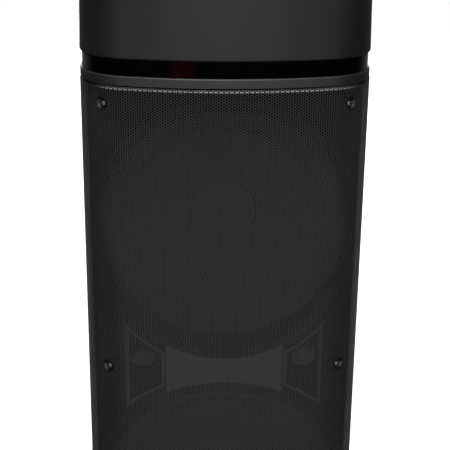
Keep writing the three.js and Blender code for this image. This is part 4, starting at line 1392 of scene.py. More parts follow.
    def build_screws(self) -> None:
        """Builds each pan-head screw with a cross recess, seated in its dimple."""
        swing = self.swing()
        seat = self.inset + self.dimple_depth
        head = 0.0030
        for name, side, z in self.screws_cache:
            radius = self.plan.corner - seat
            place = (
                Matrix.Translation(
                    (
                        side * (self.plan.corner_x + radius * math.sin(swing)),
                        self.plan.corner_y - radius * math.cos(swing),
                        z,
                    )
                )
                @ Matrix.Rotation(side * swing, 4, "Z")
                @ Matrix.Rotation(math.pi / 2, 4, "X")
            )
            profile: Section = [(0.0, -0.0095), (0.0014, -0.008), (0.0015, 0.0), (head, 0.0)]
            profile += [(head, 0.0009)]
            profile += fillet(head - 0.0011, 0.0009, 0.0011, 10, 80, 5)
            profile += [(0.0009, 0.0023), (0.0, 0.0024)]
            screw = turned(name + "_steel", profile, 36, place, SCREW_STEEL)
            blades = []
            for spin in (0.4, 0.4 + math.pi / 2):
                blade = prism(
                    "recess",
                    rounded_outline(0.0034, 0.0007, 0.0003, 3),
                    0.0012,
                    0.004,
                    SCREW_STEEL,
                    place @ Matrix.Rotation(spin, 4, "Z"),
                )
                blades.append(blade)
            cut(screw, blades)
            soften(screw)
            fit(screw, "screw_steel", name)
            self.build_shade_liner(name, place)

    def build_shade_liner(self, name: str, place: Matrix) -> None:
        """Builds a thin near-black liner laid over a dimple, painted shade for the dimple's hollow.

        Args:
            name: the screw's name.
            place: the screw's own frame.
        """
        lift = 0.00005
        low, high = self.dimple_floor - 0.0002, self.dimple - 0.0008
        rise = self.dimple_depth * 0.85
        wall: Section = [(0.0017, lift), (low, lift)]
        wall += [
            (low + (high - low) * t, lift + rise * t * t * (3 - 2 * t)) for t in (0.2, 0.4, 0.6, 0.8, 1.0)
        ]
        skin = [(r - 0.0001, z + 0.00035) for r, z in reversed(wall[1:])] + [(0.0017, lift + 0.00035)]
        # The liner is near black: painted shade for the hollow of the dimple.
        shade_liner = turned(name + "_cup", wall + skin, 48, place, DIMPLE_SHADE_LINER)
        recalculate(shade_liner)
        fit(shade_liner, "screw_steel")

    def build(self) -> None:
        """Builds the sheet and its screws, and dresses the baffle behind them."""
        self.build_sheet()
        self.build_screws()
        dress(self.frame, BAFFLE_PLASTIC, "front_baffle")
        dress(self.frame, SEAL_FOAM, "baffle_seal")


@dataclass
class Woofer:
    """One woofer: surround, cone, dust cap and light ring, with its frame and magnet dressed."""

    plan: Plan
    frame: dict
    name: str
    cone_radius: float = 0.112
    cone_depth: float = 0.045
    roll_inner: float = 0.1145
    roll_outer: float = 0.124
    lip: float = 0.0048
    steps: int = 96

    @property
    def body(self) -> str:
        """The body that carries the cone."""
        return f"{self.name}_cone"

    def place(self) -> Matrix:
        """The woofer's own frame, with Z out of the front and 0 on its seat."""
        low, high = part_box(f"woofer_{self.name}_basket")
        return forward(0.0, high.y - 0.072, (low.z + high.z) / 2)

    def build_surround(self, place: Matrix) -> None:
        """Builds the rubber roll between frame and cone."""
        lip = self.lip
        mid = (self.roll_outer + self.roll_inner) / 2
        r = (self.roll_outer - self.roll_inner) / 2
        over = fillet(mid, lip + 0.0005, r, 0, 180, 12)
        under = fillet(mid, lip + 0.0001, r - 0.0012, 180, 0, 12)
        profile: Section = [(0.133, lip), (0.133, lip + 0.0012), (self.roll_outer + 0.001, lip + 0.0014)]
        profile += over
        profile += [(0.1127, lip + 0.0002), (0.1127, lip - 0.001)]
        profile += under
        piece = turned(f"surround_{self.name}", profile, self.steps, place, SURROUND_RUBBER)
        fit(piece, "surround", f"woofer_{self.name}_surround")

    def build_cone(self, place: Matrix) -> None:
        """Builds the ribbed paper cone with its coil former."""
        rim = self.lip - 0.0015
        neck = rim - self.cone_depth
        flare = 24
        front = []
        back = []
        for i in range(flare + 1):
            t = i / flare
            radius = 0.0285 + (self.cone_radius - 0.0005 - 0.0285) * t
            sag = -0.0035 * math.sin(math.pi * t)
            rib = 0.0005 * math.sin(t * math.pi * 9) if 0.35 < t < 0.95 else 0.0
            front.append((radius, neck + (rim - neck) * t + sag * 0.5 + rib))
            back.append((radius + 0.0004, neck - 0.0014 + (rim - neck) * t + sag * 0.5 + rib))
        profile = [(self.cone_radius, rim - 0.0014), (self.cone_radius, rim)]
        profile += front[::-1]
        profile += [(0.0285, neck - 0.014), (0.0298, neck - 0.014)]
        profile += [(r, z) for r, z in back if r > 0.030][:-1]
        piece = turned(f"cone_{self.name}", profile, self.steps, place, CONE_PAPER)
        fit(piece, "cone_paper", f"woofer_{self.name}_cone", body=self.body)

    def build_dust_cap(self) -> None:
        """Builds the domed dust cap."""
        low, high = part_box(f"woofer_{self.name}_dust_cap")
        radius = (high.x - low.x) / 2
        rise = high.y - low.y
        place = forward(0.0, high.y, (low.z + high.z) / 2)
        outer = [
            (radius * math.cos(a), rise * math.sin(a)) for a in [math.pi / 2 * i / 14 for i in range(15)]
        ]
        inner = [((radius - 0.0012) * r / radius, (rise - 0.0012) * z / rise) for r, z in outer]
        outer[-1] = (0.0, rise)
        inner[-1] = (0.0, rise - 0.0012)
        profile = inner[::-1] + outer
        piece = turned(f"dust_cap_{self.name}", profile, self.steps, place, CONE_PAPER)
        fit(piece, "cone_paper", f"woofer_{self.name}_dust_cap", body=self.body)

    def build_light_ring(self) -> None:
        """Builds the milky ring bowed to the front skin."""
        low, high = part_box(f"light_ring_{self.name}")
        centre = (low.z + high.z) / 2
        outer, inner = 0.1575, 0.1495
        section = [
            (outer, 0.0137),
            (outer, 0.0122),
            (outer - 0.0012, 0.0112),
            (inner + 0.0012, 0.0112),
            (inner, 0.0122),
            (inner, 0.0137),
        ]
        limit = self.plan.half - 0.0140 - 0.0006
        stop = high.y - 0.0005
        points: list[Point] = []
        steps = 160
        for i in range(steps):
            turn = 2 * math.pi * i / steps
            for radius, depth in section:
                x = radius * math.sin(turn)
                x = math.copysign(min(abs(x), limit), x)
                y = min(self.plan.skin_y(x, depth), stop - (0.0137 - depth))
                points.append((x, y, centre + radius * math.cos(turn)))
        m = len(section)
        faces = []
        for i in range(steps):
            a, b = i * m, ((i + 1) % steps) * m
            faces += [(a + k, a + (k + 1) % m, b + (k + 1) % m, b + k) for k in range(m)]
        piece = mesh_piece(f"light_ring_{self.name}_diffuser", points, faces, DIFFUSER)
        recalculate(piece)
        fit(piece, "diffuser", f"light_ring_{self.name}")

    def build_frame_screws(self, place: Matrix) -> None:
        """Builds the eight screws that hold the frame, as one piece with its washers."""
        for i in range(8):
            turn = math.pi / 8 + math.pi / 4 * i
            spot = place @ Matrix.Translation(
                (0.139 * math.cos(turn), 0.139 * math.sin(turn), self.lip - 0.0003)
            )
            profile: Section = [(0.0, 0.0), (0.0044, 0.0), (0.0044, 0.0018), (0.0032, 0.0028), (0.0, 0.003)]
            piece = turned(f"frame_screw_{self.name}_{i + 1}", profile, 20, spot, STEEL_COAT)
            fit(piece, "basket")

    def build(self) -> None:
        """Builds the woofer's pieces and dresses the rest."""
        place = self.place()
        self.build_surround(place)
        self.build_cone(place)
        self.build_dust_cap()
        self.build_light_ring()
        self.build_frame_screws(place)
        dress(self.frame, STEEL_COAT, f"woofer_{self.name}_basket")
        dress(self.frame, FERRITE, f"woofer_{self.name}_magnet")


def recalculate(piece: bpy.types.Object) -> None:
    """Turns every face of a closed piece outwards."""
    work = bmesh.new()
    work.from_mesh(piece.data)
    bmesh.ops.recalc_face_normals(work, faces=work.faces)
    work.to_mesh(piece.data)
    work.free()
    soften(piece)


# ---- Controls -----------------------------------------------------------------------------------------


@dataclass
class ControlDeck:
    """The gloss panel on the cap with its knobs, buttons and printed dial marks."""

    frame: dict
    buttons: tuple[str, ...] = ("power", "source", "play", "light", "bass")

    def build_panel(self) -> None:
        """Builds the panel plate with its openings."""
        low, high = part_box("control_panel")
        middle = (low + high) / 2
        panel = prism(
            "panel_plate",
            rounded_outline(high.x - low.x, high.y - low.y, 0.012),
            low.z,
            high.z,
            PANEL_GLOSS,
            upward(middle.x, middle.y, 0.0),
        )
        cutters = []
        for name, spare in (("volume_knob", 0.0), ("mic_knob", 0.0), ("echo_knob", 0.0)):
            k_low, k_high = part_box(name)
            spot = (k_low + k_high) / 2
            cutters.append(self.drill(spot, 0.0036, low.z, high.z))
        for name in self.buttons:
            b_low, b_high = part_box(f"button_{name}")
            spot = (b_low + b_high) / 2
            cutters.append(self.drill(spot, 0.0073, low.z, high.z))
        cut(panel, cutters)
        bevel(panel, 0.0004, 2)
        fit(panel, "gloss_panel", "control_panel")
        dress(self.frame, BOARD_MASK, "control_board")

    def drill(self, spot: Vector, radius: float, low: float, high: float) -> bpy.types.Object:
        """A round cutter through the panel."""
        profile: Section = [
            (0.0, low - 0.005), (radius, low - 0.005), (radius, high + 0.005), (0.0, high + 0.005)
        ]
        return turned("drill", profile, 48, upward(spot.x, spot.y, 0.0), PANEL_GLOSS)

    def build_knob(self, name: str, ribs: int) -> None:
        """Builds a ribbed knob with a spun metal top and a pointer line.

        Args:
            name: the CAD node that it stands for.
            ribs: how many grip ribs it has.
        """
        low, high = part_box(name)
        middle = (low + high) / 2
        panel_low, panel_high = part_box("control_panel")
        base = panel_high.z + 0.0008
        radius = (high.x - low.x) / 2 - 0.0008
        top = high.z
        profile: Section = [
            (0.0, low.z),
            (0.003, low.z),
            (0.003, base),
            (radius + 0.0006, base),
            (radius + 0.0006, base + 0.0014),
            (radius, base + 0.0026),
            (radius - 0.0004, top - 0.0024),
            (radius - 0.0012, top - 0.0008),
            (radius - 0.0024, top - 0.0002),
            (radius - 0.0044, top - 0.0002),
            (radius - 0.0050, top - 0.0009),
            (0.0, top - 0.0009),
        ]

        def grip(k: int, turn: float) -> float:
            """The ribbing of the side."""
            depth = {5: 0.6, 6: 1.0, 7: 0.4}.get(k, 0.0)
            return 1.0 - depth * 0.0006 / radius * (1.0 + math.cos(turn * ribs))

        place = upward(middle.x, middle.y, 0.0)
        knob = turned(f"{name}_grip", profile, ribs * 8, place, KNOB_PLASTIC, grip)
        fit(knob, "knob", name, body=name)
        face: Section = [
            (0.0, top - 0.0008),
            (radius - 0.0053, top - 0.0008),
            (radius - 0.0053, top - 0.0004),
            (radius - 0.0057, top - 0.0002),
            (0.0, top - 0.0002),
        ]
        disc = turned(f"{name}_disc", face, 64, place, KNOB_METAL_BY_NODE[name])
        fit(disc, "knob", body=name)
        line = block(
            f"{name}_pointer",
            (middle.x - 0.0006, middle.y - radius + 0.0062, top - 0.0001),
            (middle.x + 0.0006, middle.y - radius * 0.45, top + 0.0001),
            PRINT_WHITE,
            0.0,
        )
        fit(line, "knob", body=name)

    def build_marks(self, name: str, reach: float, count: int) -> None:
        """Builds the printed ticks round a knob.

        Args:
            name: the knob.
            reach: the ticks' distance from its axis.
            count: how many ticks there are.
        """
        low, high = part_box(name)
        middle = (low + high) / 2
        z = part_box("control_panel")[1].z
        points: list[Point] = []
        faces = []
        for i in range(count):
            turn = math.radians(-150 + 300 * i / (count - 1))
            spin = Matrix.Rotation(-turn, 4, "Z")
            long = 0.0022 if i % 5 == 0 else 0.0014
            for dz in (0.0, 0.00012):
                for dx, dy in ((-0.00025, 0.0), (0.00025, 0.0), (0.00025, -long), (-0.00025, -long)):
                    spot = spin @ Vector((dx, reach + dy, 0.0))
                    points.append((middle.x + spot.x, middle.y - spot.y, z + 0.00002 + dz))
            b = 8 * i
            faces += [(b, b + 1, b + 2, b + 3), (b + 7, b + 6, b + 5, b + 4)]
            faces += [(b + k, b + 4 + k, b + 4 + (k + 1) % 4, b + (k + 1) % 4) for k in range(4)]
        marks = mesh_piece(f"{name}_marks", points, faces, PRINT_WHITE)
        recalculate(marks)
        fit(marks, "gloss_panel")

    def build_button(self, name: str) -> None:
        """Builds a dished silicone button with a raised dot."""
        node = f"button_{name}"
        low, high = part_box(node)
        middle = (low + high) / 2
        radius = 0.0070
        panel_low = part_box("control_panel")[0].z
        top = high.z
        profile: Section = [
            (0.0, low.z),
            (0.004, low.z),
            (0.004, panel_low - 0.0022),
            (radius, panel_low - 0.0022),
            (radius, top - 0.0012),
        ]
        profile += fillet(radius - 0.0012, top - 0.0012, 0.0012, 10, 90, 5)
        profile += [
            (0.0042, top - 0.0004), (0.0022, top - 0.0006), (0.0012, top - 0.0002),
            (0.0, top - 0.0001)
        ]
        piece = turned(f"{node}_cap", profile, 40, upward(middle.x, middle.y, 0.0), BUTTON_SILICONE)
        fit(piece, "button_rubber", node, body=node)

    def build(self) -> None:
        """Builds the panel and everything on it."""
        self.build_panel()
        self.build_knob("volume_knob", 36)
        self.build_knob("mic_knob", 20)
        self.build_knob("echo_knob", 20)
        self.build_marks("volume_knob", 0.0295, 31)
        self.build_marks("mic_knob", 0.0160, 11)
        self.build_marks("echo_knob", 0.0160, 11)
        for name in self.buttons:
            self.build_button(name)


KNOB_METAL_BY_NODE: dict[str, Finish] = {
    "volume_knob": TurnedFinish(
        "knob_metal_volume", (0.30, 0.30, 0.31), 0.3, metallic=1.0, relief=0.00002, wear=0.0, dust=0.0,
        axis=(0.0, -0.108, 0.0), upright=True, rings=2500.0,
    ),
    "mic_knob": TurnedFinish(
        "knob_metal_mic", (0.30, 0.30, 0.31), 0.3, metallic=1.0, relief=0.00002, wear=0.0, dust=0.0,
        axis=(-0.092, -0.108, 0.0), upright=True, rings=2500.0,
    ),
    "echo_knob": TurnedFinish(
        "knob_metal_echo", (0.30, 0.30, 0.31), 0.3, metallic=1.0, relief=0.00002, wear=0.0, dust=0.0,
        axis=(0.092, -0.108, 0.0), upright=True, rings=2500.0,
    ),
}


# ---- Handle, rear and base ----------------------------------------------------------------------------


@dataclass
class CarryHandle:
    """The padded bar across the grip pocket."""

    ribs: int = 17

    def build(self) -> None:
        """Builds the bar with shallow finger grooves."""
        low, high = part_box("carry_handle")
        middle = (low + high) / 2
        half = 0.0947
        outline = rounded_outline(high.y - low.y, high.z - low.z, 0.0085, 8)
        n = len(outline)
        stations = 120
        points: list[Vector] = []
        for i in range(stations + 1):
            x = -half + 2 * half * i / stations
            end = min((half - abs(x)) / 0.003, 1.0)
            shrink = 1.0 - 0.18 * (1.0 - math.sqrt(max(1.0 - (1.0 - end) ** 2, 0.0)))
            groove = 0.03 * (0.5 + 0.5 * math.cos(2 * math.pi * x / (2 * half) * self.ribs))
            scale = shrink - (groove if abs(x) < half * 0.86 else 0.0)
            points += [Vector((x, middle.y + a * scale, middle.z + b * scale)) for a, b in outline]
        faces: list[Sequence[int]] = []
        for i in range(stations):
            a, b = i * n, (i + 1) * n
            faces += [(a + k, a + (k + 1) % n, b + (k + 1) % n, b + k) for k in range(n)]
        faces.append(list(range(n))[::-1])
        faces.append([stations * n + k for k in range(n)])
        bar = mesh_piece("handle_bar", points, faces, GRIP_RUBBER)
        recalculate(bar)
        fit(bar, "grip", "carry_handle")


@dataclass
class RearPanel:
    """The panel of sockets at the back, its cover, inlet and rocker, and the bass port."""

    frame: dict
    barrel: float = 0.0026
    tilt: float = math.radians(8.0)
    plate: float = 0.003
    tray_box: float = 0.0545
    tray_half: float = 0.052
    tray_reach: float = 0.028
    rebate_box: float = 0.0595
    rebate_depth: float = 0.0036
    jack_hole: float = 0.0063
    screw_inset: float = 0.008
    pin_offset: float = 0.0065
    tab_half: float = 0.012

    def build_jack(self, side: str) -> None:
        """Builds a microphone jack with its threaded nut."""
        low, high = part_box(f"mic_jack_{side}")
        middle = (low + high) / 2
        place = backward(middle.x, high.y - 0.005, middle.z)
        profile: Section = [
            (0.0033, 0.005),
            (0.0033, -0.022),
            (0.006, -0.022),
            (0.006, 0.0),
            (0.0083, 0.0),
            (0.0083, 0.003),
            (0.0074, 0.0038),
            (0.0056, 0.0038),
            (0.0054, 0.005),
        ]

        def nut(k: int, turn: float) -> float:
            """The notched rim of the nut."""
            return 1.0 - 0.05 * (0.5 + 0.5 * math.cos(turn * 24)) if k in (4, 5) else 1.0

        piece = turned(f"jack_{side}_nut", profile[::-1], 96, place, NICKEL, nut)
        recalculate(piece)
        fit(piece, "jack_steel", f"mic_jack_{side}")

    def build_port(self) -> None:
        """Builds the flared bass port."""
        low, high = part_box("bass_port")
        place = backward(0.0, high.y, (low.z + high.z) / 2)
        length = high.y - low.y
        flare = [(0.040 + 0.0098 * (1 - math.cos(a)), -0.0095 + 0.0098 * math.sin(a)) for a in
                 [math.pi / 2 * i / 10 for i in range(11)]]
        profile: Section = [
            (0.043, -length), (0.0438, -0.0035), (0.0518, -0.0030), (0.0518, -0.0006), (0.0512, 0.0)
        ]
        profile += flare[::-1]
        profile += [(0.040, -length)]
        port = turned("port_tube", profile, 96, place, PLINTH_PLASTIC)
        recalculate(port)
        fit(port, "plinth", "bass_port")

    def build_panel(self) -> None:
        """Builds the panel plate with its socket tray, cover rebate and openings."""
        low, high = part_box("rear_panel")
        face = high.y
        middle = (low + high) / 2
        plate = prism(
            "rear_plate",
            rounded_outline(high.x - low.x, high.z - low.z, 0.008),
            -self.plate,
            0.0,
            REAR_PLASTIC,
            backward(middle.x, face, middle.z),
        )
        c_low, c_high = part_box("port_cover")
        sill, lintel = c_low.z + self.barrel, c_high.z
        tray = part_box("mic_jack_left")[1].y - 0.005
        outer = block(
            "tray_box", (-self.tray_box, low.y, sill - 0.0006),
            (self.tray_box, face - 0.001, lintel - 0.0005),
            REAR_PLASTIC, 0
        )
        frame = block(
            "rebate_box", (-self.rebate_box, face - 0.008, sill - 0.0061),
            (self.rebate_box, face - 0.001, lintel + 0.0035), REAR_PLASTIC, 0
        )
        join(plate, [outer, frame])
        half = c_high.x + 0.0004
        spot = (c_low + c_high) / 2
        jack = (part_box("mic_jack_left")[0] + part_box("mic_jack_left")[1]) / 2
        cutters = [
            block(
                "rebate", (-half, face - self.rebate_depth, sill - 0.0030),
                (half, face + 0.01, lintel + 0.0004),
                REAR_PLASTIC, 0
            ),
            block(
                "tray", (-self.tray_half, tray, jack.z - self.tray_reach),
                (self.tray_half, face + 0.01, jack.z + self.tray_reach),
                REAR_PLASTIC, 0
            ),
            turned(
                "barrel_groove",
                [(0.0, -half), (self.barrel + 0.0005, -half), (self.barrel + 0.0005, half), (0.0, half)],
                32,
                Matrix.Translation((spot.x, face - 0.002, sill)) @ Matrix.Rotation(math.pi / 2, 4, "Y"),
                REAR_PLASTIC,
            ),
        ]
        for name in ("mains_inlet", "power_rocker"):
            n_low, n_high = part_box(name)
            spare = 0.0003 if name == "mains_inlet" else 0.0005
            start = (n_low.x - spare, face - 0.02, n_low.z - spare)
            cutters.append(
                block("hole", start, (n_high.x + spare, face + 0.01, n_high.z + spare), REAR_PLASTIC, 0)
            )
        u_low, u_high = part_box("usb_socket")
        cutters.append(
            block(
                "usb_hole",
                (u_low.x - 0.0003, tray - 0.01, u_low.z - 0.0003),
                (u_high.x + 0.0003, tray + 0.001, u_high.z + 0.0003),
                REAR_PLASTIC,
                0,
            )
        )
        for side in ("left", "right"):
            j_low, j_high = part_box(f"mic_jack_{side}")
            where = (j_low + j_high) / 2
            hole: Section = [(0.0, -0.01), (self.jack_hole, -0.01), (self.jack_hole, 0.002), (0.0, 0.002)]
            cutters.append(turned("jack_hole", hole, 40, backward(where.x, tray, where.z), REAR_PLASTIC))
        cut(plate, cutters)
        bevel(plate, 0.0004, 2)
        fit(plate, "rear_plate", "rear_panel")

    def build_cover(self) -> None:
        """Builds the soft cover with its pull tab and hinge barrel."""
        low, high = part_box("port_cover")
        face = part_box("rear_panel")[1].y
        sill = low.z + self.barrel
        cover = block("cover_flap", (low.x, face - 0.003, sill), (high.x, face, high.z), COVER_RUBBER, 0)
        tab = block(
            "cover_tab", (-self.tab_half, face - 0.001, high.z - 0.008),
            (self.tab_half, high.y, high.z - 0.005),
            COVER_RUBBER, 0
        )
        place = Matrix.Translation((0.0, face - 0.002, sill)) @ Matrix.Rotation(math.pi / 2, 4, "Y")
        profile: Section = [(0.0, low.x), (self.barrel, low.x), (self.barrel, high.x), (0.0, high.x)]
        barrel = turned("cover_barrel", profile, 32, place, COVER_RUBBER)
        join(cover, [tab, barrel])
        grooves = []
        for k in range(3):
            z = sill + 0.016 + 0.012 * k
            span = (low.x + 0.012, high.x - 0.012)
            grooves.append(
                block(
                    "groove", (span[0], face - 0.0006, z), (span[1], face + 0.001, z + 0.0016),
                    COVER_RUBBER, 0
                )
            )
        cut(cover, grooves)
        bevel(cover, 0.0005, 2)
        fit(cover, "button_rubber", "port_cover", body="port_cover")

    def build_inlet(self) -> None:
        """Builds the two-pin mains inlet."""
        low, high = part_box("mains_inlet")
        middle = (low + high) / 2
        body = block("inlet_body", tuple(low), tuple(high), REAR_PLASTIC, 0)
        start = (low.x + 0.003, low.y + 0.003, low.z + 0.003)
        end = (high.x - 0.003, high.y + 0.01, high.z - 0.003)
        cut(body, [block("socket", start, end, REAR_PLASTIC, 0.0)])
        bevel(body, 0.0007, 2)
        fit(body, "rear_plate", "mains_inlet")
        for side in (-1.0, 1.0):
            place = backward(middle.x + side * self.pin_offset, low.y + 0.003, middle.z)
            profile: Section = [(0.0, 0.0), (0.0012, 0.0), (0.0012, 0.0145), (0.0008, 0.0152), (0.0, 0.0154)]
            pin = turned("inlet_pin_left" if side < 0 else "inlet_pin_right", profile, 24, place, NICKEL)
            fit(pin, "jack_steel")

    def build_rocker(self) -> None:
        """Builds the rocker with its on and off marks."""
        low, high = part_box("power_rocker")
        middle = (low + high) / 2
        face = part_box("rear_panel")[1].y
        place = Matrix.Translation((middle.x, face, middle.z)) @ Matrix.Rotation(self.tilt, 4, "X")
        turn = place @ Matrix.Rotation(-math.pi / 2, 4, "Y")
        half, width = 0.0105, (high.x - low.x) / 2
        hollow = [(half - 2 * half * i / 12, 0.0006 + 0.0016 * (1 - i / 6) ** 2) for i in range(13)]
        outline = hollow + [(-half + 0.001, -0.004), (0.0, -0.008), (half - 0.001, -0.004)]
        rocker = prism("rocker_key", outline, -width, width, ROCKER_GLOSS, turn)
        recalculate(rocker)
        bevel(rocker, 0.0003, 2, 50.0)
        fit(rocker, "gloss_panel", "power_rocker", body="power_rocker")
        bar = mark_bar("rocker_on_mark", place, 0.0062)
        fit(bar, "gloss_panel", body="power_rocker")
        ring = turned(
            "rocker_off_mark",
            [(0.0014, 0.0), (0.0019, 0.0), (0.0019, 0.00012), (0.0014, 0.00012)],
            32,
            place @ Matrix.Translation((0.0, 0.00125, -0.0062)) @ Matrix.Rotation(
                -math.pi / 2 + 0.18, 4, "X"
            ),
            PRINT_WHITE,
        )
        fit(ring, "gloss_panel", body="power_rocker")

    def build_screws(self) -> None:
        """Builds the panel's four corner screws."""
        low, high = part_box("rear_panel")
        for i, (sx, sz) in enumerate(((-1, -1), (1, -1), (-1, 1), (1, 1))):
            x = (low.x + high.x) / 2 + sx * ((high.x - low.x) / 2 - self.screw_inset)
            z = (low.z + high.z) / 2 + sz * ((high.z - low.z) / 2 - self.screw_inset)
            profile: Section = [(0.0, -0.0002), (0.0036, -0.0002), (0.0036, 0.0004)]
            profile += fillet(0.0022, 0.0004, 0.0014, 10, 80, 4)
            profile += [(0.0, 0.0019)]
            place = backward(x, high.y, z)
            screw = turned(f"rear_screw_{i + 1}", profile, 28, place, SCREW_STEEL)
            slots = []
            for spin in (0.3, 0.3 + math.pi / 2):
                turn = place @ Matrix.Rotation(spin, 4, "Z")
                slots.append(
                    prism("slot", rounded_outline(0.0038, 0.0008, 0.0003, 3), 0.001, 0.004, SCREW_STEEL, turn)
                )
            cut(screw, slots)
            soften(screw)
            fit(screw, "screw_steel")

    def build(self) -> None:
        """Builds everything on the rear wall."""
        self.build_panel()
        self.build_cover()
        self.build_inlet()
        self.build_rocker()
        self.build_screws()
        self.build_jack("left")
        self.build_jack("right")
        self.build_port()
        dress(self.frame, NICKEL, "usb_socket")


@dataclass
class Base:
    """The plinth on its four feet, with two transport wheels on an axle."""

    plan: Plan
    frame: dict
    foot_round: float = 0.004

    def build_plinth(self) -> None:
        """Builds the plinth's skirt and deck with wheel wells cut at the rear corners."""
        low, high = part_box("base_plinth")
        r = self.foot_round
        section: Section = [(0.004, high.z - 0.004), (0.004, low.z), (r, low.z)]
        section += [(-x, z) for x, z in fillet(-r, low.z + r, r, -90, 0, 6)][1:]
        section += [(-x, z) for x, z in fillet(-0.0015, high.z - 0.0015, 0.0015, 0, 90, 4)]
        plinth = self.plan.swept("plinth_shell", section, PLINTH_PLASTIC, closed=False)
        cutters = []
        for side in ("left", "right"):
            w_low, w_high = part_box(f"wheel_{side}")
            cutter = prism(
                "well",
                rounded_outline(w_high.x - w_low.x + 0.006, 0.12, 0.006),
                low.z - 0.02,
                w_high.z + 0.003,
                PLINTH_PLASTIC,
                upward((w_low.x + w_high.x) / 2, w_low.y - 0.004 + 0.06, 0.0),
            )
            cutters.append(cutter)
        cut(plinth, cutters)
        bevel(plinth, 0.0006, 2, 50.0)
        fit(plinth, "plinth", "base_plinth")

    def build_foot(self, name: str) -> None:
        """Builds a ringed rubber foot."""
        node = f"foot_{name}"
        low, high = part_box(node)
        middle = (low + high) / 2
        radius = (high.x - low.x) / 2
        base = low.z
        profile: Section = [(0.0, base), (radius - 0.006, base), (radius - 0.006, base + 0.0008)]
        profile += [(radius - 0.005, base + 0.0008), (radius - 0.005, base)]
        profile += fillet(radius - 0.003, base + 0.003, 0.003, -90, 0, 5)
        profile += [(radius, base + 0.0112), (radius - 0.001, base + 0.0117), (radius - 0.006, base + 0.0117)]
        profile += [(radius - 0.006, high.z), (0.0, high.z)]
        foot = turned(f"{node}_pad", profile, 48, upward(middle.x, middle.y, 0.0), FOOT_RUBBER)
        fit(foot, "foot_rubber", node)

    def build_wheel(self, side: str) -> None:
        """Builds a wheel: ribbed tread on a dished hub with six spokes."""
        node = f"wheel_{side}"
        low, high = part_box(node)
        middle = (low + high) / 2
        half = (high.x - low.x) / 2
        radius = (high.y - low.y) / 2
        place = Matrix.Translation(middle) @ Matrix.Rotation(math.pi / 2, 4, "Y")
        tread: Section = [(radius - 0.006, -half), (radius - 0.0025, -half), (radius - 0.0006, -half + 0.002)]
        for x in (-0.006, -0.002, 0.002, 0.006):
            tread += [(radius, x - 0.0014), (radius - 0.0008, x - 0.0008), (radius - 0.0008, x + 0.0008)]
            tread += [(radius, x + 0.0014)]
        tread += [(radius - 0.0006, half - 0.002), (radius - 0.0025, half), (radius - 0.006, half)]
        tyre = turned(f"{node}_tread", tread, 72, place, TREAD_RUBBER)
        fit(tyre, "wheel_rubber", node, body=node)
        hub: Section = [
            (0.0043, -half + 0.001),
            (0.0095, -half + 0.001),
            (0.0095, -half + 0.005),
            (radius - 0.0085, -half + 0.005),
            (radius - 0.0085, -half + 0.001),
            (radius - 0.0063, -half + 0.001),
            (radius - 0.0063, half - 0.001),
            (radius - 0.0085, half - 0.001),
            (radius - 0.0085, half - 0.005),
            (0.0095, half - 0.005),
            (0.0095, half - 0.001),
            (0.0043, half - 0.001),
        ]
        core = turned(f"{node}_hub", hub, 72, place, HUB_PLASTIC)
        cutters = []
        for i in range(6):
            turn = Matrix.Rotation(math.pi / 3 * i, 4, "Z") @ Matrix.Translation((0.0138, 0.0, 0.0))
            cutters.append(
                prism(
                    "window", rounded_outline(0.006, 0.0062, 0.002, 4), -0.03, 0.03, HUB_PLASTIC,
                    place @ turn
                )
            )
        cut(core, cutters)
        bevel(core, 0.0003, 2, 40.0)
        fit(core, "wheel_rubber", body=node)

    def build(self) -> None:
        """Builds the base's pieces and dresses the axle."""
        self.build_plinth()
        for name in ("front_left", "front_right", "rear_left", "rear_right"):
            self.build_foot(name)
        self.build_wheel("left")
        self.build_wheel("right")
        dress(self.frame, SCREW_STEEL, "axle")


@dataclass
class Interior:
    """The pieces inside the cabinet, dressed where they are."""

    frame: dict

    def build(self) -> None:
        """Dresses horns, drivers, amplifier and battery."""
        dress(self.frame, HORN_PLASTIC, "tweeter_left_horn", "tweeter_right_horn")
        dress(self.frame, FERRITE, "tweeter_left_driver", "tweeter_right_driver")
        dress(self.frame, BOARD_MASK, "amplifier_board")
        dress(self.frame, CELL_WRAP, "battery_pack")


# ---- Studio -------------------------------------------------------------------------------------------


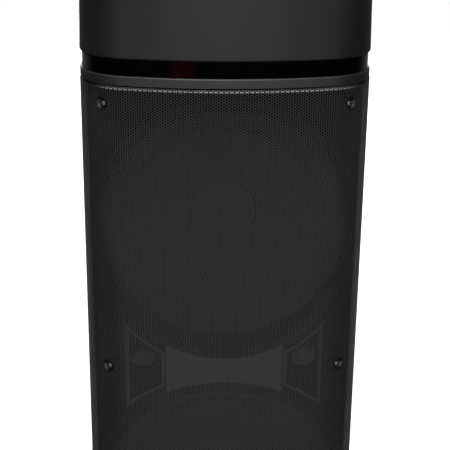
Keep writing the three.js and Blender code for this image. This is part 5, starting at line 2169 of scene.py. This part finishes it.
@dataclass
class Studio:
    """Pale floor, soft lights and the camera."""

    focal: float = 92.0
    pitch: float = 20.05
    heading: float = -2.45
    tilt: float = 0.65
    eye: Point = (-0.0541, -1.4076, 1.0548)
    sun_power: float = 3.7
    front_power: float = 20.0
    top_power: float = 38.0
    rear_power: float = 60.0
    low_power: float = 4.4
    front_glow: float = 0.01
    back_glow: float = 0.15

    def floor(self) -> None:
        """Lays a wide pale floor."""
        floor = mesh_piece(
            "studio_floor",
            [(-9.0, -1.7, 0.0), (9.0, -1.7, 0.0), (9.0, 9.0, 0.0), (-9.0, 9.0, 0.0)],
            [(0, 1, 2, 3)],
            FLOOR_PAPER,
        )
        floor.visible_glossy = False
        floor.visible_diffuse = False

    def light(self, name: str, place: Point, aim: Point, size: tuple[float, float], power: float) -> None:
        """Hangs a soft area light.

        Args:
            name: its name.
            place: where it is.
            aim: the point that it faces.
            size: its two sides in metres.
            power: its power in watts.
        """
        data = bpy.data.lights.new(name, "AREA")
        data.shape = "RECTANGLE"
        data.size, data.size_y = size
        data.energy = power
        lamp = bpy.data.objects.new(name, data)
        lamp.location = place
        lamp.visible_camera = False
        lamp.rotation_euler = (Vector(aim) - Vector(place)).to_track_quat("-Z", "Y").to_euler()
        bpy.context.scene.collection.objects.link(lamp)

    def world(self) -> None:
        """Sets a surround with a bright backdrop and a dark front, which the camera sees as white."""
        world = bpy.data.worlds.new("studio")
        world.use_nodes = True
        web = Web(world.node_tree)
        world.node_tree.nodes.clear()
        heading = web.add("ShaderNodeSeparateXYZ")
        web.link(web.add("ShaderNodeTexCoord").outputs["Generated"], heading.inputs[0])
        lit = web.add("ShaderNodeBackground", Color=(1.0, 1.0, 1.0, 1.0))
        web.link(
            web.ramp(heading.outputs["Y"], 0.1, 0.9, (self.front_glow, self.back_glow)),
            lit.inputs["Strength"]
        )
        seen = web.add("ShaderNodeBackground", Color=(1.0, 1.0, 1.0, 1.0), Strength=1.0)
        choose = web.add("ShaderNodeMixShader")
        web.link(web.add("ShaderNodeLightPath").outputs["Is Camera Ray"], choose.inputs[0])
        web.link(lit.outputs[0], choose.inputs[1])
        web.link(seen.outputs[0], choose.inputs[2])
        web.link(choose.outputs[0], web.add("ShaderNodeOutputWorld").inputs[0])
        bpy.context.scene.world = world

    def sun(self) -> None:
        """Hangs a very soft light straight above."""
        data = bpy.data.lights.new("overhead", "SUN")
        data.energy = self.sun_power
        data.angle = math.radians(35.0)
        lamp = bpy.data.objects.new("overhead", data)
        lamp.location = (0.0, 0.0, 5.0)
        bpy.context.scene.collection.objects.link(lamp)

    def camera(self) -> None:
        """Places the camera at the viewing angle."""
        data = bpy.data.cameras.new("camera")
        data.lens = self.focal
        data.sensor_width = 36.0
        data.clip_end = 50.0
        camera = bpy.data.objects.new("camera", data)
        spin = Matrix.Rotation(math.radians(self.heading), 4, "Z")
        lean = Matrix.Rotation(math.radians(90.0 - self.pitch), 4, "X")
        roll = Matrix.Rotation(math.radians(self.tilt), 4, "Z")
        camera.matrix_world = Matrix.Translation(self.eye) @ spin @ lean @ roll
        bpy.context.scene.collection.objects.link(camera)
        bpy.context.scene.camera = camera

    def build(self) -> None:
        """Builds the whole studio."""
        self.floor()
        self.world()
        self.sun()
        self.light("front_soft", (0.0, -2.6, 1.45), (0.0, 0.0, 0.6), (0.9, 0.9), self.front_power)
        self.light("front_top", (0.0, -2.3, 3.0), (0.0, -0.1, 0.7), (1.4, 0.9), self.top_power)
        self.light("rear", (0.0, 3.4, 1.5), (0.0, 0.2, 0.5), (1.6, 1.2), self.rear_power)
        self.light("low_bounce", (0.0, -1.0, 0.06), (0.0, -0.17, 0.3), (1.8, 0.4), self.low_power)
        self.camera()
        bpy.context.scene.view_settings.view_transform = "Standard"


def main() -> None:
    """Loads the frame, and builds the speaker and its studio."""
    logging.basicConfig(level=logging.INFO, format="%(message)s")
    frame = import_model()
    for builder in (build_grain, build_mottle, build_wear, build_dust, build_perforation):
        builder()
    low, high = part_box("trim_ring")
    plan = Plan(half=(high.x - low.x) / 2, front=low.y, back=high.y)
    Housing(plan, frame).build()
    GrilleSheet(plan, frame).build()
    for name in ("upper", "lower"):
        Woofer(plan, frame, name).build()
    ControlDeck(frame).build()
    CarryHandle().build()
    RearPanel(frame).build()
    Base(plan, frame).build()
    Interior(frame).build()
    Studio().build()


if __name__ == "__main__":
    main()
